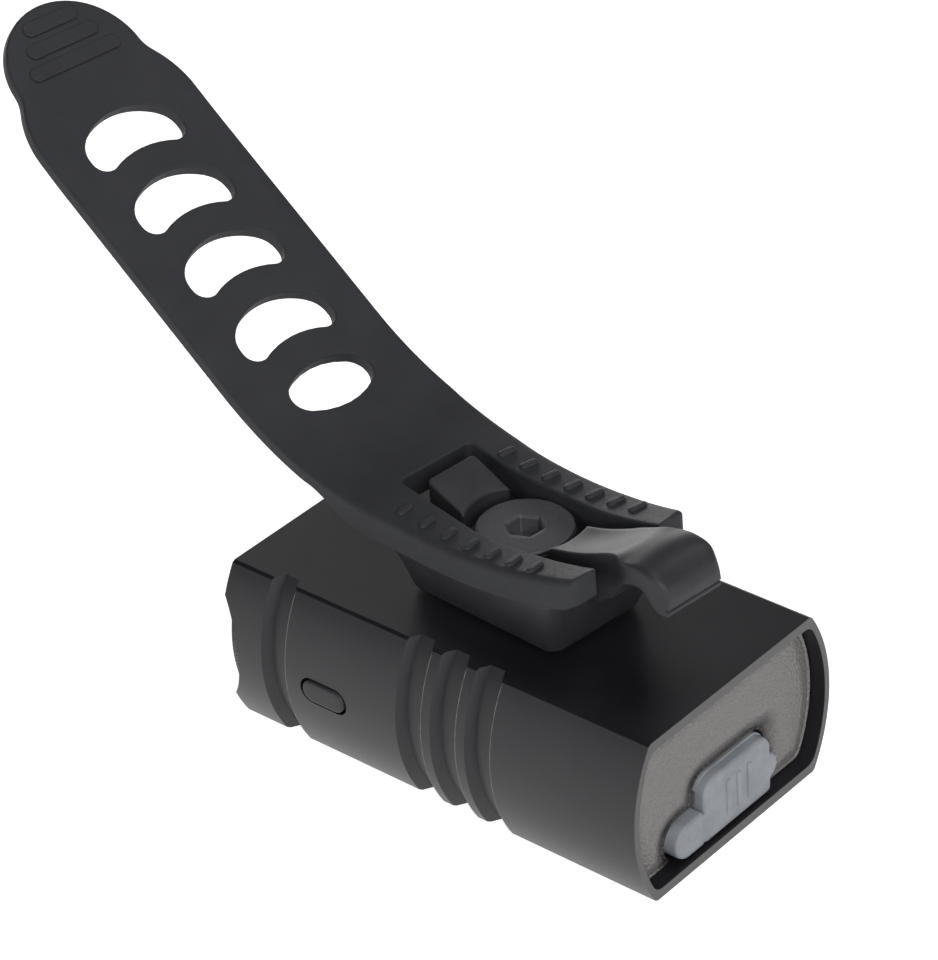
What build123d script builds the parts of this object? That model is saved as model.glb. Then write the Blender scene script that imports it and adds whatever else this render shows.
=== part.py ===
from build123d import *
import math
import os

# Bike headlight: a tube-like lamp that carries a moulded shoe with a rubber strap.
# Millimetres, +Z up. The origin is the centre of the flat underside.
# The lens faces -Y, the charging port +Y and the button +X.

# Shared clearances and overruns
overrun = 4.0
seat_gap = 0.05
running_gap = 0.06
soft_gap = 0.3
quarter_turn = 90

# Housing
housing_length = 66.75
housing_height = 23.47
flat_width = 32.0
side_bulge = 3.49
long_edge_cut = 0.3
cavity_side_wall = 2.3
cavity_flat_wall = 2.4
pocket_corner_round = 2.0
cavity_corner_cut = 1.2
rear_rim_side = 0.9
rear_rim_flat = 1.35
front_rim = 1.2
rail_offset = 11.0
rail_width = 1.5
rail_height = 0.8

# Grip grooves on the bulged sides
groove_width = 4.05
groove_floor = 2.2
groove_depth = 1.3
front_groove_inset = 8.8
grip_groove_from_front = 31.275
grip_groove_pitch = 5.55
grip_groove_count = 3

# Scallops in the front rim
scallop_radius = 12.4
scallop_depth = 2.6

# Front stack behind the rim
lens_recess = 0.5
lens_thickness = 2.2
lens_gasket_thickness = 0.8
lens_gasket_width = 1.6
reflector_depth = 6.2
bowl_offset = 8.35
bowl_mouth_radius = 7.8
bowl_shares = [(1.0, 0), (0.79, 0.45), (0.34, 1.0)]
led_board_thickness = 1.0
led_board_margin = 0.6
emitter_width = 3.4
emitter_height = 0.7
emitter_dome_radius = 1.35
emitter_dome_height = 0.6
emitter_dome_top_share = 0.55
spreader_thickness = 1.5
spreader_foot_length = 8.0
spreader_foot_width = 22.0

# Rear cap, its seal and the charging port
cap_recess = 2.6
cap_thickness = 3.0
cap_gasket_thickness = 0.8
border_inset = 0.4
border_width = 0.35
border_height = 0.2
pad_step_insets = [0.95, 1.6]
pad_step_height = 0.5
port_x = -1.45
port_width = 8.6
port_height = 3.8
port_corner_round = 1.2
socket_width = 7.6
socket_height = 2.6
socket_length = 5.6
socket_wall = 0.35
socket_depth = 4.6

# Port cover and its tether
cover_proud = 2.0
cover_sunk = 1.2
cover_outline_gap = 0.5
cover_hinge_x = 5.35
cover_far_x = -8.1
cover_bottom_z = 1.65
cover_top_z = 10.5
cover_corner_round = 2.2
cover_base_round = 0.9
lobe_z = 5.35
lobe_radius = 1.85
lobe_reach = 1.4
plug_gap = 0.55
plug_length = 1.5
tether_length = 5.6
tether_height = 4.9
stem_radius = 1.0
stem_head_radius = 1.6
stem_head_thickness = 0.5
ridge_width = 0.7
ridge_length = 5.2
ridge_height = 0.3
ridge_pitch = 2.1
ridge_count = 3

# Side button
button_from_front = 17.175
button_below_middle = 0.235
button_hole_length = 7.7
button_hole_width = 3.8
button_side_gap = 0.3
button_length_gap = 0.4
button_proud = 0.25
button_height = 2.0
button_bevel = 0.3
seal_margin = 1.0
seal_thickness = 0.9
switch_width = 4.6
switch_height = 2.2
plunger_radius = 1.0
plunger_height = 0.3
switch_board_thickness = 1.0
switch_board_width = 7.8
switch_board_height = 12.0

# Control board and battery
board_thickness = 1.0
board_width = 28.4
board_front_gap = 0.2
board_rear_gap = 0.1
pad_thickness = 0.8
battery_width = 26.0
battery_below_boss = 3.07
battery_before_socket = 1.675
battery_round = 1.8
battery_behind_board = 0.7

# Screw joint between lamp and shoe
screw_y = 1.94
mount_yaw = -6.3
screw_shank_radius = 3.0
screw_head_radius = 6.2
screw_head_height = 10.06
screw_head_land = 0.5
screw_tip_clearance = 0.4
hex_across_flats = 4.0
hex_depth = 2.4
insert_radius = 4.4
insert_boss_wall = 2.4
insert_boss_depth = 3.0
washer_radius = 7.0
washer_thickness = 0.8
shoe_lift = 0.3

# Moulded shoe, in its own frame: x across, y to the rear, z above the lamp
shoe_front = 12.35
shoe_rear = 12.1
shoe_front_half = 8.8
shoe_rear_half = 7.6
shoe_corner_round = 2.0
shoe_side_flare_share = 0.30
shoe_rear_flare_share = 0.37
shoe_front_flare_share = 0.21
shoe_loft_height = 12.5
vertical_share = 0.5
ring_wall = 0.25
ring_below_head = 0.6
block_half_width = 4.0
block_front = 14.0
block_front_height = 12.3
block_axis_height = 8.1
block_screw_gap = 1.7
block_round = 0.6

# Strap hook on the shoe
hook_reach = 28.95
hook_height = 17.65
tongue_half_width = 3.3
tongue_rear_half_width = 3.8
bill_half_width = 5.1
bill_start_share = 0.71
bill_full_share = 0.78
tongue_screw_gap = 2.0
hook_top_shares = [
    (0.266, 0.68),
    (0.5, 0.818),
    (0.642, 0.935),
    (0.72, 0.985),
    (0.812, 1.0),
    (0.92, 0.96),
    (0.985, 0.865),
    (1.0, 0.785),
    (0.997, 0.708),
]
hook_under_shares = [
    (0.968, 0.697),
    (0.93, 0.755),
    (0.884, 0.825),
    (0.825, 0.84),
    (0.757, 0.793),
    (0.7, 0.71),
    (0.663, 0.578),
]
hook_heel_shares = [(0.623, 0.534), (0.45, 0.32)]

# Rubber strap: its top line is a chain of tangent arcs and one straight stretch
prong_end = 17.4
strap_low_y = -6.0
strap_low_height = 11.35
rear_arc_radius = 75.0
front_arc_radius = 125.0
front_arc_slope = 5.5
bend_radius = 48.7
tail_slope = 33.0
straight_length = 32.4
tip_arc_radius = 190.0
tip_arc_length = 26.2
fork_thickness = 4.1
tail_thickness = 2.0
thick_end = 17.5
thin_start = 24.0
flex_at = 26.0
flex_gap = 0.3
prong_end_half = 10.4
screw_half = 11.35
tail_half_width = 12.85
prong_corner_round = 1.8
window_front = 17.0
window_front_half = 5.9
window_rear_half = 6.0
window_ring_gap = 0.15

# Grip ribs on the two prongs
rib_count = 7
rib_pitch = 3.86
rib_front = 11.7
rib_length = 2.8
rib_width = 1.0
rib_height = 0.4
rib_offset = 9.0

# Tail outline, its crescent holes and the tip
shoulder_radius = 13.9
shoulder_from_tip = 19.1
notch_from_tip = 10.9
notch_round = 1.8
hole_count = 4
hole_pitch = 10.83
hole_from_tip = 17.5
hole_outer_radius = 9.9
hole_inner_radius = 12.5
hole_opening = 6.25
hole_drop = 7.4
hole_half_width = 7.55
hole_round = 1.9
hole_horn_round = 0.5
oval_from_tip = 64.45
oval_width = 7.3
oval_side_radius = 10.2
oval_end_round = 2.6
bar_width = 2.2
bar_height = 0.4
bar_pitch = 3.0
bar_from_tip = 8.75
bar_half_lengths = [7.4, 5.8, 4.4]

# Values worked out from the sizes above
middle_z = housing_height / 2
front_y = -housing_length / 2
rear_y = housing_length / 2
side_radius = (middle_z**2 + side_bulge**2) / (2 * side_bulge)
side_centre = flat_width / 2 + side_bulge - side_radius
widest_x = flat_width / 2 + side_bulge
lens_front = front_y + lens_recess
lens_back = lens_front + lens_thickness
front_ledge = lens_back + lens_gasket_thickness
reflector_back = front_ledge + reflector_depth
led_board_back = reflector_back + led_board_thickness
spreader_back = led_board_back + spreader_thickness
cap_face = rear_y - cap_recess
cap_back = cap_face - cap_thickness
rear_ledge = cap_back - cap_gasket_thickness
cavity_floor = cavity_flat_wall
cavity_roof = housing_height - cavity_flat_wall
board_bottom = cavity_floor + rail_height
board_top = board_bottom + board_thickness
port_z = board_top + socket_height / 2
socket_rear = cap_back - board_rear_gap
socket_front = socket_rear - socket_length
button_y = front_y + button_from_front
button_z = middle_z - button_below_middle
battery_bottom = board_top + pad_thickness
battery_height = cavity_roof - insert_boss_depth - battery_below_boss - battery_bottom
battery_front = button_y + switch_board_width / 2 + battery_behind_board
battery_rear = socket_front - battery_before_socket
cover_back = cap_face - cover_sunk
cover_face = cap_face + cover_proud
cover_middle_z = (cover_bottom_z + cover_top_z) / 2
switch_board_x = widest_x - cavity_side_wall - seal_thickness - plunger_height - switch_height
cone_height = screw_head_radius - screw_shank_radius
ring_radius = screw_head_radius + ring_wall


def low_bar(length, width):
    """Plan of a low bar across x with its corners cut off."""
    bar = Rectangle(width, length)
    return chamfer(bar.vertices(), width / 4)


def along_y(sketch, y_low, y_high):
    """Prism of a sketch drawn in X and Z, between two places along the lamp."""
    return extrude(Plane.XZ.offset(-y_high) * sketch, amount=y_high - y_low)


def along_x(sketch, x_low, x_high):
    """Prism of a sketch drawn in Y and Z, between two places across the lamp."""
    return extrude(Plane.YZ.offset(x_low) * sketch, amount=x_high - x_low)


def along_z(sketch, z_low, z_high):
    """Prism of a sketch drawn in X and Y, between two heights."""
    return extrude(Plane.XY.offset(z_low) * sketch, amount=z_high - z_low)


def across_shoe(sketch, half_width):
    """Prism of a side view drawn in y and z, symmetric about the shoe's middle."""
    return extrude(Plane.YZ * sketch, amount=half_width, both=True)


def on_lamp(shape):
    """Place a piece of the shoe's frame on top of the lamp, at the screw and its yaw."""
    return Pos(0, screw_y, housing_height) * Rot(0, 0, mount_yaw) * shape


def lamp_section(side_inset, flat_inset, corner_round=0):
    """The lamp's cross-section, drawn in from its outside: flat top and bottom, arc sides.
    Its corners are rounded, or cut off where no rounding is given."""
    radius = side_radius - side_inset
    half_height = middle_z - flat_inset
    half_flat = side_centre + math.sqrt(radius**2 - half_height**2)
    half_width = side_centre + radius
    top, bottom = middle_z + half_height, middle_z - half_height
    edges = [
        Line((-half_flat, top), (half_flat, top)),
        ThreePointArc((half_flat, top), (half_width, middle_z), (half_flat, bottom)),
        Line((half_flat, bottom), (-half_flat, bottom)),
        ThreePointArc((-half_flat, bottom), (-half_width, middle_z), (-half_flat, top)),
    ]
    face = make_face(edges)
    if corner_round:
        return fillet(face.vertices(), corner_round)
    corner_cut = cavity_corner_cut if side_inset else long_edge_cut
    return chamfer(face.vertices(), corner_cut)


# Housing and front stack


def groove_ring():
    """A ring of the groove's section round the axis of one bulged side."""
    profile = Polygon(
        (side_radius - groove_depth, -groove_floor / 2),
        (side_radius, -groove_width / 2),
        (side_radius + overrun, -groove_width / 2),
        (side_radius + overrun, groove_width / 2),
        (side_radius, groove_width / 2),
        (side_radius - groove_depth, groove_floor / 2),
        align=None,
    )
    return revolve(profile, Axis.Y)


def groove_places():
    places = [front_y + front_groove_inset]
    for index in range(grip_groove_count):
        places.append(front_y + grip_groove_from_front + index * grip_groove_pitch)
    return places


def make_housing():
    body = along_y(lamp_section(0, 0), front_y, rear_y)
    cavity = lamp_section(cavity_side_wall, cavity_flat_wall)
    body -= along_y(cavity, front_y, rear_y)
    body -= along_y(lamp_section(front_rim, front_rim), front_y, front_ledge)
    rear_pocket = lamp_section(rear_rim_side, rear_rim_flat, pocket_corner_round)
    body -= along_y(rear_pocket, rear_ledge, rear_y)
    ring = groove_ring()
    for place in groove_places():
        body -= Pos(side_centre, place, middle_z) * ring
        body -= Pos(-side_centre, place, middle_z) * ring
    scallop = Pos(front_y + scallop_depth - scallop_radius, middle_z) * Circle(scallop_radius)
    body -= along_x(scallop, -widest_x - overrun, widest_x + overrun)
    button_hole = Pos(button_y, button_z) * SlotOverall(button_hole_length, button_hole_width)
    body -= along_x(button_hole, 0, widest_x + overrun)
    for side in (-1, 1):
        rail = Pos(side * rail_offset, cavity_floor + rail_height / 2) * Rectangle(rail_width, rail_height)
        body += along_y(rail, spreader_back, rear_ledge)
    boss = Pos(0, screw_y) * Circle(insert_radius + insert_boss_wall)
    body += along_z(boss, cavity_roof - insert_boss_depth, cavity_roof)
    insert_hole = Pos(0, screw_y) * Circle(insert_radius + seat_gap)
    body -= along_z(insert_hole, cavity_roof - insert_boss_depth, housing_height)
    return body


def make_front_lens():
    inset = front_rim + seat_gap
    return along_y(lamp_section(inset, inset), lens_front, lens_back)


def make_lens_gasket():
    inset = front_rim + seat_gap
    inner = front_rim + lens_gasket_width
    ring = lamp_section(inset, inset) - lamp_section(inner, inner)
    return along_y(ring, lens_back, front_ledge)


def bowl():
    """One reflector bowl, as the solid that is cut away, with its mouth at y = 0."""
    wall = [(radius * bowl_mouth_radius, depth * reflector_depth) for radius, depth in bowl_shares]
    profile = Polygon((0, 0), *wall, (0, reflector_depth), align=None)
    return revolve(profile, Axis.Y)


def make_reflector():
    section = lamp_section(cavity_side_wall + seat_gap, cavity_flat_wall + seat_gap)
    block = along_y(section, front_ledge, reflector_back)
    for side in (-1, 1):
        block -= Pos(side * bowl_offset, front_ledge, middle_z) * bowl()
    return block


def make_led_board():
    inset = cavity_side_wall + led_board_margin
    return along_y(lamp_section(inset, inset), reflector_back, led_board_back)


def make_led_emitters():
    """Two square packages with a small dome, standing in the throats of the bowls."""
    group = []
    for side in (-1, 1):
        square = Pos(side * bowl_offset, middle_z) * Rectangle(emitter_width, emitter_width)
        package = along_y(square, reflector_back - emitter_height, reflector_back)
        top_radius = emitter_dome_radius * emitter_dome_top_share
        dome = Pos(0, 0, emitter_dome_height / 2) * Cone(emitter_dome_radius, top_radius, emitter_dome_height)
        place = Pos(side * bowl_offset, reflector_back - emitter_height, middle_z)
        package += place * Rot(quarter_turn, 0, 0) * dome
        group.append(package)
    return Compound(children=[solid for package in group for solid in package.solids()])


def make_heat_spreader():
    inset_side = cavity_side_wall + seat_gap
    inset_flat = cavity_flat_wall + seat_gap
    plate = along_y(lamp_section(inset_side, inset_flat), led_board_back, spreader_back)
    foot_z = housing_height - inset_flat - spreader_thickness / 2
    foot = Pos(0, foot_z) * Rectangle(spreader_foot_width, spreader_thickness)
    return plate + along_y(foot, led_board_back, spreader_back + spreader_foot_length)


# Control board, battery and switch


def make_control_board():
    front = spreader_back + board_front_gap
    rear = rear_ledge - board_rear_gap
    section = Pos(0, board_bottom + board_thickness / 2) * Rectangle(board_width, board_thickness)
    return along_y(section, front, rear)


def make_battery_pad():
    section = Pos(0, board_top + pad_thickness / 2) * Rectangle(battery_width, pad_thickness)
    return along_y(section, battery_front, battery_rear)


def make_battery_cell():
    middle = battery_bottom + battery_height / 2
    section = Pos(0, middle) * RectangleRounded(battery_width, battery_height, battery_round)
    return along_y(section, battery_front, battery_rear)


def make_switch_board():
    section = Pos(button_y, board_top + switch_board_height / 2) * Rectangle(
        switch_board_width, switch_board_height
    )
    return along_x(section, switch_board_x - switch_board_thickness, switch_board_x)


def make_button_switch():
    square = Pos(button_y, button_z) * Rectangle(switch_width, switch_width)
    body = along_x(square, switch_board_x, switch_board_x + switch_height)
    top = switch_board_x + switch_height
    plunger = Pos(button_y, button_z) * Circle(plunger_radius)
    return body + along_x(plunger, top, top + plunger_height - seat_gap)


def make_button_seal():
    """A thin rubber boot that lies against the inside of the side wall."""
    inner_x = widest_x - cavity_side_wall - seal_thickness
    slot = Pos(button_y, button_z) * SlotOverall(
        button_hole_length + 2 * seal_margin, button_hole_width + 2 * seal_margin
    )
    room = lamp_section(cavity_side_wall + seat_gap, cavity_flat_wall)
    return along_x(slot, inner_x, widest_x) & along_y(room, front_ledge, rear_ledge)


def make_button_cap():
    length = button_hole_length - 2 * button_length_gap
    width = button_hole_width - 2 * button_side_gap
    top = widest_x + button_proud
    cap = along_x(Pos(button_y, button_z) * SlotOverall(length, width), top - button_height, top)
    return chamfer(cap.faces().sort_by(Axis.X)[-1].edges(), button_bevel)


# Rear cap, charging socket and port cover


def cover_main_outline():
    """Main block of the port cover, with the pull lobe at its far side."""
    width = cover_hinge_x - cover_far_x
    height = cover_top_z - cover_bottom_z
    middle_x = (cover_hinge_x + cover_far_x) / 2
    block = Pos(middle_x, cover_middle_z) * Rectangle(width, height)
    corners = block.vertices().sort_by(Axis.Y)
    block = fillet(corners[2:], cover_corner_round)
    far_low = block.vertices().sort_by_distance((cover_far_x, cover_bottom_z, 0))[0]
    block = fillet(far_low, cover_base_round)
    lobe_x = cover_far_x - lobe_reach + lobe_radius
    return block + Pos(lobe_x, lobe_z) * Circle(lobe_radius)


def tether_outline():
    """The fixed tab beside the cover, with a rounded far end."""
    middle = cover_bottom_z + tether_height / 2
    tab = Pos(cover_hinge_x + tether_length / 2, middle) * Rectangle(tether_length, tether_height)
    far = tab.vertices().sort_by(Axis.X)[2:]
    return fillet(far, tether_height / 2 - seat_gap)


def pocket_outline():
    return offset(cover_main_outline() + tether_outline(), cover_outline_gap, kind=Kind.ARC)


def border_band():
    """Fine raised line that follows the cap's edge and passes round the pocket."""
    inset_side = rear_rim_side + border_inset
    inset_flat = rear_rim_flat + border_inset
    room = lamp_section(inset_side, inset_flat, pocket_corner_round)
    room -= offset(pocket_outline(), border_inset, kind=Kind.ARC)
    inner = offset(room, -border_width, kind=Kind.ARC)
    return room - inner


def cap_pad():
    """Raised middle of the cap, which steps down towards its edge and the pocket."""
    steps = []
    for index, inset in enumerate(pad_step_insets):
        plan = lamp_section(rear_rim_side + inset, rear_rim_flat + inset, pocket_corner_round)
        plan -= offset(pocket_outline(), inset, kind=Kind.ARC)
        steps.append(along_y(plan, cap_back, cap_face + (index + 1) * pad_step_height))
    return steps[0] + steps[1]


def make_rear_cap():
    section = lamp_section(rear_rim_side + seat_gap, rear_rim_flat + seat_gap, pocket_corner_round)
    cap = along_y(section, cap_back, cap_face)
    cap += along_y(border_band(), cap_back, cap_face + border_height)
    cap += cap_pad()
    cap -= along_y(pocket_outline(), cover_back - soft_gap, cap_face + overrun)
    port = Pos(port_x, port_z) * RectangleRounded(port_width, port_height, port_corner_round)
    cap -= along_y(port, cap_back - overrun, cap_face)
    stem_hole = Pos(stem_x(), stem_z()) * Circle(stem_radius + seat_gap)
    return cap - along_y(stem_hole, cap_back - overrun, cap_face)


def stem_x():
    return cover_hinge_x + tether_length / 2


def stem_z():
    return cover_bottom_z + tether_height / 2


def make_rear_cap_gasket():
    outer = lamp_section(rear_rim_side + seat_gap, rear_rim_flat + seat_gap, pocket_corner_round)
    return along_y(outer - lamp_section(cavity_side_wall, cavity_flat_wall), rear_ledge, cap_back)


def make_usb_socket():
    """Shell of the charging socket with its contact tongue, standing on the board."""
    place = Pos(port_x, port_z)
    outside_round = socket_height / 2 - socket_wall
    outside = place * RectangleRounded(socket_width, socket_height, outside_round)
    inner_width, inner_height = socket_width - 2 * socket_wall, socket_height - 2 * socket_wall
    mouth = place * RectangleRounded(inner_width, inner_height, outside_round - socket_wall)
    shell = along_y(outside, socket_front, socket_rear)
    shell -= along_y(mouth, socket_rear - socket_depth, socket_rear)
    tongue = place * Rectangle(socket_width - socket_height, socket_height / 4)
    return shell + along_y(tongue, socket_front, socket_rear - socket_wall)


def make_cover_tether():
    flap = tether_outline() - Pos(cover_hinge_x, stem_z()) * Rectangle(soft_gap, 2 * tether_height)
    tab = along_y(flap, cover_back, cover_face)
    stem = Pos(stem_x(), stem_z()) * Circle(stem_radius)
    tab += along_y(stem, cap_back - stem_head_thickness, cover_face)
    head = Pos(stem_x(), stem_z()) * Circle(stem_head_radius)
    return tab + along_y(head, cap_back - stem_head_thickness, cap_back)


def make_port_cover():
    flap = cover_main_outline() - Pos(cover_hinge_x, middle_z) * Rectangle(soft_gap, housing_height)
    cover = along_y(flap, cover_back, cover_face)
    plug = RectangleRounded(
        port_width - 2 * plug_gap, port_height - 2 * plug_gap, port_corner_round - plug_gap / 2
    )
    cover += along_y(Pos(port_x, port_z) * plug, cover_back - plug_length, cover_back)
    for index in range(ridge_count):
        place = port_x + (index - (ridge_count - 1) / 2) * ridge_pitch
        ridge = Pos(place, cover_middle_z) * low_bar(ridge_length, ridge_width)
        cover += along_y(ridge, cover_face, cover_face + ridge_height)
    return cover


# Screw joint


def make_mount_insert():
    ring = Circle(insert_radius) - Circle(screw_shank_radius + seat_gap)
    return Pos(0, screw_y, 0) * along_z(ring, cavity_roof - insert_boss_depth, housing_height)


def screw_profile(gap):
    """Half section of the screw below its head's top face, grown outwards by a gap."""
    top = screw_head_height
    land = top - screw_head_land
    neck = land - cone_height
    low = -cavity_flat_wall - insert_boss_depth + screw_tip_clearance
    return Polygon(
        (0, top),
        (screw_head_radius + gap, top),
        (screw_head_radius + gap, land),
        (screw_shank_radius + gap, neck),
        (screw_shank_radius + gap, low),
        (0, low),
        align=None,
    )


def make_mount_screw():
    screw = revolve(Plane.XZ * screw_profile(0), Axis.Z)
    socket = RegularPolygon(hex_across_flats / 2, side_count=6, major_radius=False)
    screw -= along_z(socket, screw_head_height - hex_depth, screw_head_height)
    return on_lamp(screw)


def make_mount_washer():
    ring = Circle(washer_radius) - Circle(screw_shank_radius + seat_gap)
    return on_lamp(along_z(ring, 0, washer_thickness))


# Strap line


def strap_stretches():
    """Length and radius of each stretch from the prong ends to the tip; radius 0 is straight."""
    rear_angle = math.asin((prong_end - strap_low_y) / rear_arc_radius)
    return [
        (rear_angle * rear_arc_radius, rear_arc_radius),
        (math.radians(front_arc_slope) * front_arc_radius, front_arc_radius),
        (math.radians(tail_slope - front_arc_slope) * bend_radius, bend_radius),
        (straight_length, 0),
        (tip_arc_length, tip_arc_radius),
    ]


def prong_along():
    """Place of the prong ends, as a length forward of the screw axis."""
    end_angle = math.asin((prong_end - strap_low_y) / rear_arc_radius)
    screw_angle = math.asin(-strap_low_y / rear_arc_radius)
    return (screw_angle - end_angle) * rear_arc_radius


def strap_station(along):
    """Point (y, z) on the strap's top line and its forward slope in radians."""
    end_angle = math.asin((prong_end - strap_low_y) / rear_arc_radius)
    y = prong_end
    z = strap_low_height + rear_arc_radius * (1 - math.cos(end_angle))
    slope = -end_angle
    left = along - prong_along()
    for length, radius in strap_stretches():
        step = min(left, length)
        if radius:
            turned = slope + step / radius
            y -= radius * (math.sin(turned) - math.sin(slope))
            z += radius * (math.cos(slope) - math.cos(turned))
            slope = turned
        else:
            y -= step * math.cos(slope)
            z += step * math.sin(slope)
        left -= step
        if left <= 0:
            break
    return y, z, slope


def strap_point(along, depth):
    y, z, slope = strap_station(along)
    return (y - depth * math.sin(slope), z - depth * math.cos(slope))


def strap_breaks():
    """Places where one stretch of the strap's line ends and the next begins."""
    places = [prong_along()]
    for length, _ in strap_stretches():
        places.append(places[-1] + length)
    return places


def strap_run(start, end, depth):
    """Edges of the strap's line at one depth below its top, between two places."""
    edges = []
    breaks = strap_breaks()
    for index, (_, radius) in enumerate(strap_stretches()):
        low, high = max(start, breaks[index]), min(end, breaks[index + 1])
        if high <= low:
            continue
        first, last = strap_point(low, depth), strap_point(high, depth)
        if radius:
            edges.append(ThreePointArc(first, strap_point((low + high) / 2, depth), last))
        else:
            edges.append(Line(first, last))
    return edges


def strap_tip():
    return strap_breaks()[-1]


# Moulded shoe with its block and hook


def shoe_half(y):
    """Half width of the shoe's foot, which narrows evenly towards the rear."""
    narrowing = (shoe_front_half - shoe_rear_half) / (shoe_front + shoe_rear)
    return shoe_front_half - (y + shoe_front) * narrowing


def shoe_corners(height):
    """Corners of the shoe's flared walls, all of them flat, at a height above the lamp."""
    front = -shoe_front - height * shoe_front_flare_share
    rear = shoe_rear + height * shoe_rear_flare_share
    front_half = shoe_half(front) + height * shoe_side_flare_share
    rear_half = shoe_half(rear) + height * shoe_side_flare_share
    plan = [(-front_half, front), (front_half, front), (rear_half, rear), (-rear_half, rear)]
    return [(x, y, height) for x, y in plan]


def above_seat():
    """Room above the face that the strap lies on."""
    start, end = prong_along(), window_front
    depth = fork_thickness + seat_gap
    first, last = strap_point(start, depth), strap_point(end, depth)
    high = hook_height + overrun
    rear, front = first[0] + overrun, last[0] - overrun
    lines = [
        Line(first, (rear, first[1] + overrun * math.tan(-strap_station(start)[2]))),
        Line((rear, first[1] + overrun * math.tan(-strap_station(start)[2])), (rear, high)),
        Line((rear, high), (front, high)),
        Line((front, high), (front, last[1])),
        Line((front, last[1]), last),
    ]
    return across_shoe(make_face(lines + strap_run(start, end, depth)), shoe_front_half + 2 * overrun)


def hook_point(share):
    return (share[0] * hook_reach, share[1] * hook_height)


def arc_chain(points):
    """Arcs one after another, each through three of the points and ending where the next begins."""
    starts = range(0, len(points) - 2, 2)
    return [ThreePointArc(points[index], points[index + 1], points[index + 2]) for index in starts]


def hook_side_view():
    """Side view of the hook: dished tongue, crest, rounded nose, thin lip and arched throat."""
    top = [hook_point(share) for share in hook_top_shares]
    under = [hook_point(share) for share in hook_under_shares]
    heel = [hook_point(share) for share in hook_heel_shares]
    root = (0, heel[-1][1])
    tongue = (0, top[0][1])
    edges = arc_chain(top) + arc_chain(under) + [
        Line(root, tongue),
        Line(tongue, top[0]),
        Line(top[-1], under[0]),
        Line(under[-1], heel[0]),
        Line(heel[0], heel[1]),
        Line(heel[1], root),
    ]
    return make_face(edges)


def hook_plan():
    """Plan of the hook: narrow tongue that widens into the bill."""
    start = hook_reach * bill_start_share
    full = hook_reach * bill_full_share
    end = hook_reach + overrun
    right = [(tongue_half_width, 0), (tongue_rear_half_width, start)]
    right += [(bill_half_width, full), (bill_half_width, end)]
    left = [(-x, y) for x, y in reversed(right)]
    return Polygon(*right, *left, align=None)


def make_hook():
    hook = across_shoe(hook_side_view(), bill_half_width + overrun) & along_z(hook_plan(), 0, hook_height)
    round_screw = Circle(ring_radius + tongue_screw_gap)
    return hook - along_z(round_screw, 0, hook_height + overrun)


def make_block():
    """Raised block in front of the screw, hollowed round the screw's ring."""
    low = strap_low_height - fork_thickness - tail_thickness
    side = Polygon(
        (-block_front, low), (-block_front, block_front_height), (0, block_axis_height), (0, low), align=None
    )
    block = across_shoe(side, block_half_width)
    block = fillet(block.edges().filter_by(Axis.Z).sort_by(Axis.Y)[:2], block_round)
    round_screw = Circle(ring_radius + block_screw_gap)
    return block - along_z(round_screw, 0, block_front_height + overrun)


def flat_sided(low, high):
    """Solid with flat faces between the shoe's plans at two heights."""
    foot = shoe_corners(low)
    head = shoe_corners(high)
    rings = [foot, head]
    for index in range(len(foot)):
        after = (index + 1) % len(foot)
        rings.append([foot[index], foot[after], head[after], head[index]])
    faces = [Face(Wire.make_polygon(ring)) for ring in rings]
    return Solid(Shell(faces))


def make_mount_base():
    shoe = flat_sided(shoe_lift, shoe_loft_height)
    corners = [edge for edge in shoe.edges() if abs(edge.tangent_at(0).Z) > vertical_share]
    shoe = fillet(corners, shoe_corner_round) - above_seat()
    ring_top = screw_head_height - ring_below_head
    shoe += along_z(Circle(ring_radius), shoe_lift, ring_top)
    shoe += make_block()
    shoe += make_hook()
    shoe -= revolve(Plane.XZ * screw_profile(running_gap), Axis.Z)
    pocket = Circle(washer_radius + seat_gap + running_gap)
    shoe -= along_z(pocket, 0, washer_thickness + seat_gap)
    return on_lamp(shoe)


# Rubber strap


def fork_plan():
    """Plan of the forked end: two prongs that widen forwards into one band."""
    front = -flex_at - overrun
    side = [(prong_end_half, prong_end), (screw_half, 0), (tail_half_width, -flex_at)]
    edges = [
        Spline(side),
        Spline([(-x, y) for x, y in side]),
        Line((-prong_end_half, prong_end), (prong_end_half, prong_end)),
        Line((tail_half_width, -flex_at), (tail_half_width, front)),
        Line((tail_half_width, front), (-tail_half_width, front)),
        Line((-tail_half_width, front), (-tail_half_width, -flex_at)),
    ]
    band = make_face(edges)
    rear_corners = band.vertices().sort_by(Axis.Y)[-2:]
    return fillet(rear_corners, prong_corner_round)


def fork_window():
    """Window round the block, the screw and the hook, open to the rear."""
    end = prong_end + overrun
    window = Polygon(
        (-window_front_half, -window_front),
        (window_front_half, -window_front),
        (window_rear_half, end),
        (-window_rear_half, end),
        align=None,
    )
    return window + Circle(ring_radius + window_ring_gap)


def flex_pivot():
    return strap_point(flex_at, tail_thickness / 2)


def fork_side_view():
    start = prong_along()
    low = strap_run(start, thick_end, fork_thickness) + strap_run(thin_start, flex_at, tail_thickness)
    lines = [
        Line(strap_point(start, 0), strap_point(start, fork_thickness)),
        Line(strap_point(thick_end, fork_thickness), strap_point(thin_start, tail_thickness)),
        Line(strap_point(flex_at, tail_thickness), strap_point(flex_at, 0)),
    ]
    return make_face(lines + low + strap_run(start, flex_at, 0))


def surface_plane(along, across):
    """Plane on the strap's top face: x forward along the strap, y across to +x of the shoe."""
    y, z, slope = strap_station(along)
    forward = (0, -math.cos(slope), math.sin(slope))
    outward = (0, math.sin(slope), math.cos(slope))
    return Plane(origin=(across, y, z), x_dir=forward, z_dir=outward)


def raised_bar(along, across, length, width, height):
    """A low bar that lies across the strap's top face."""
    plane = surface_plane(along, across).offset(-height)
    return extrude(plane * low_bar(length, width), amount=2 * height)


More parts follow.
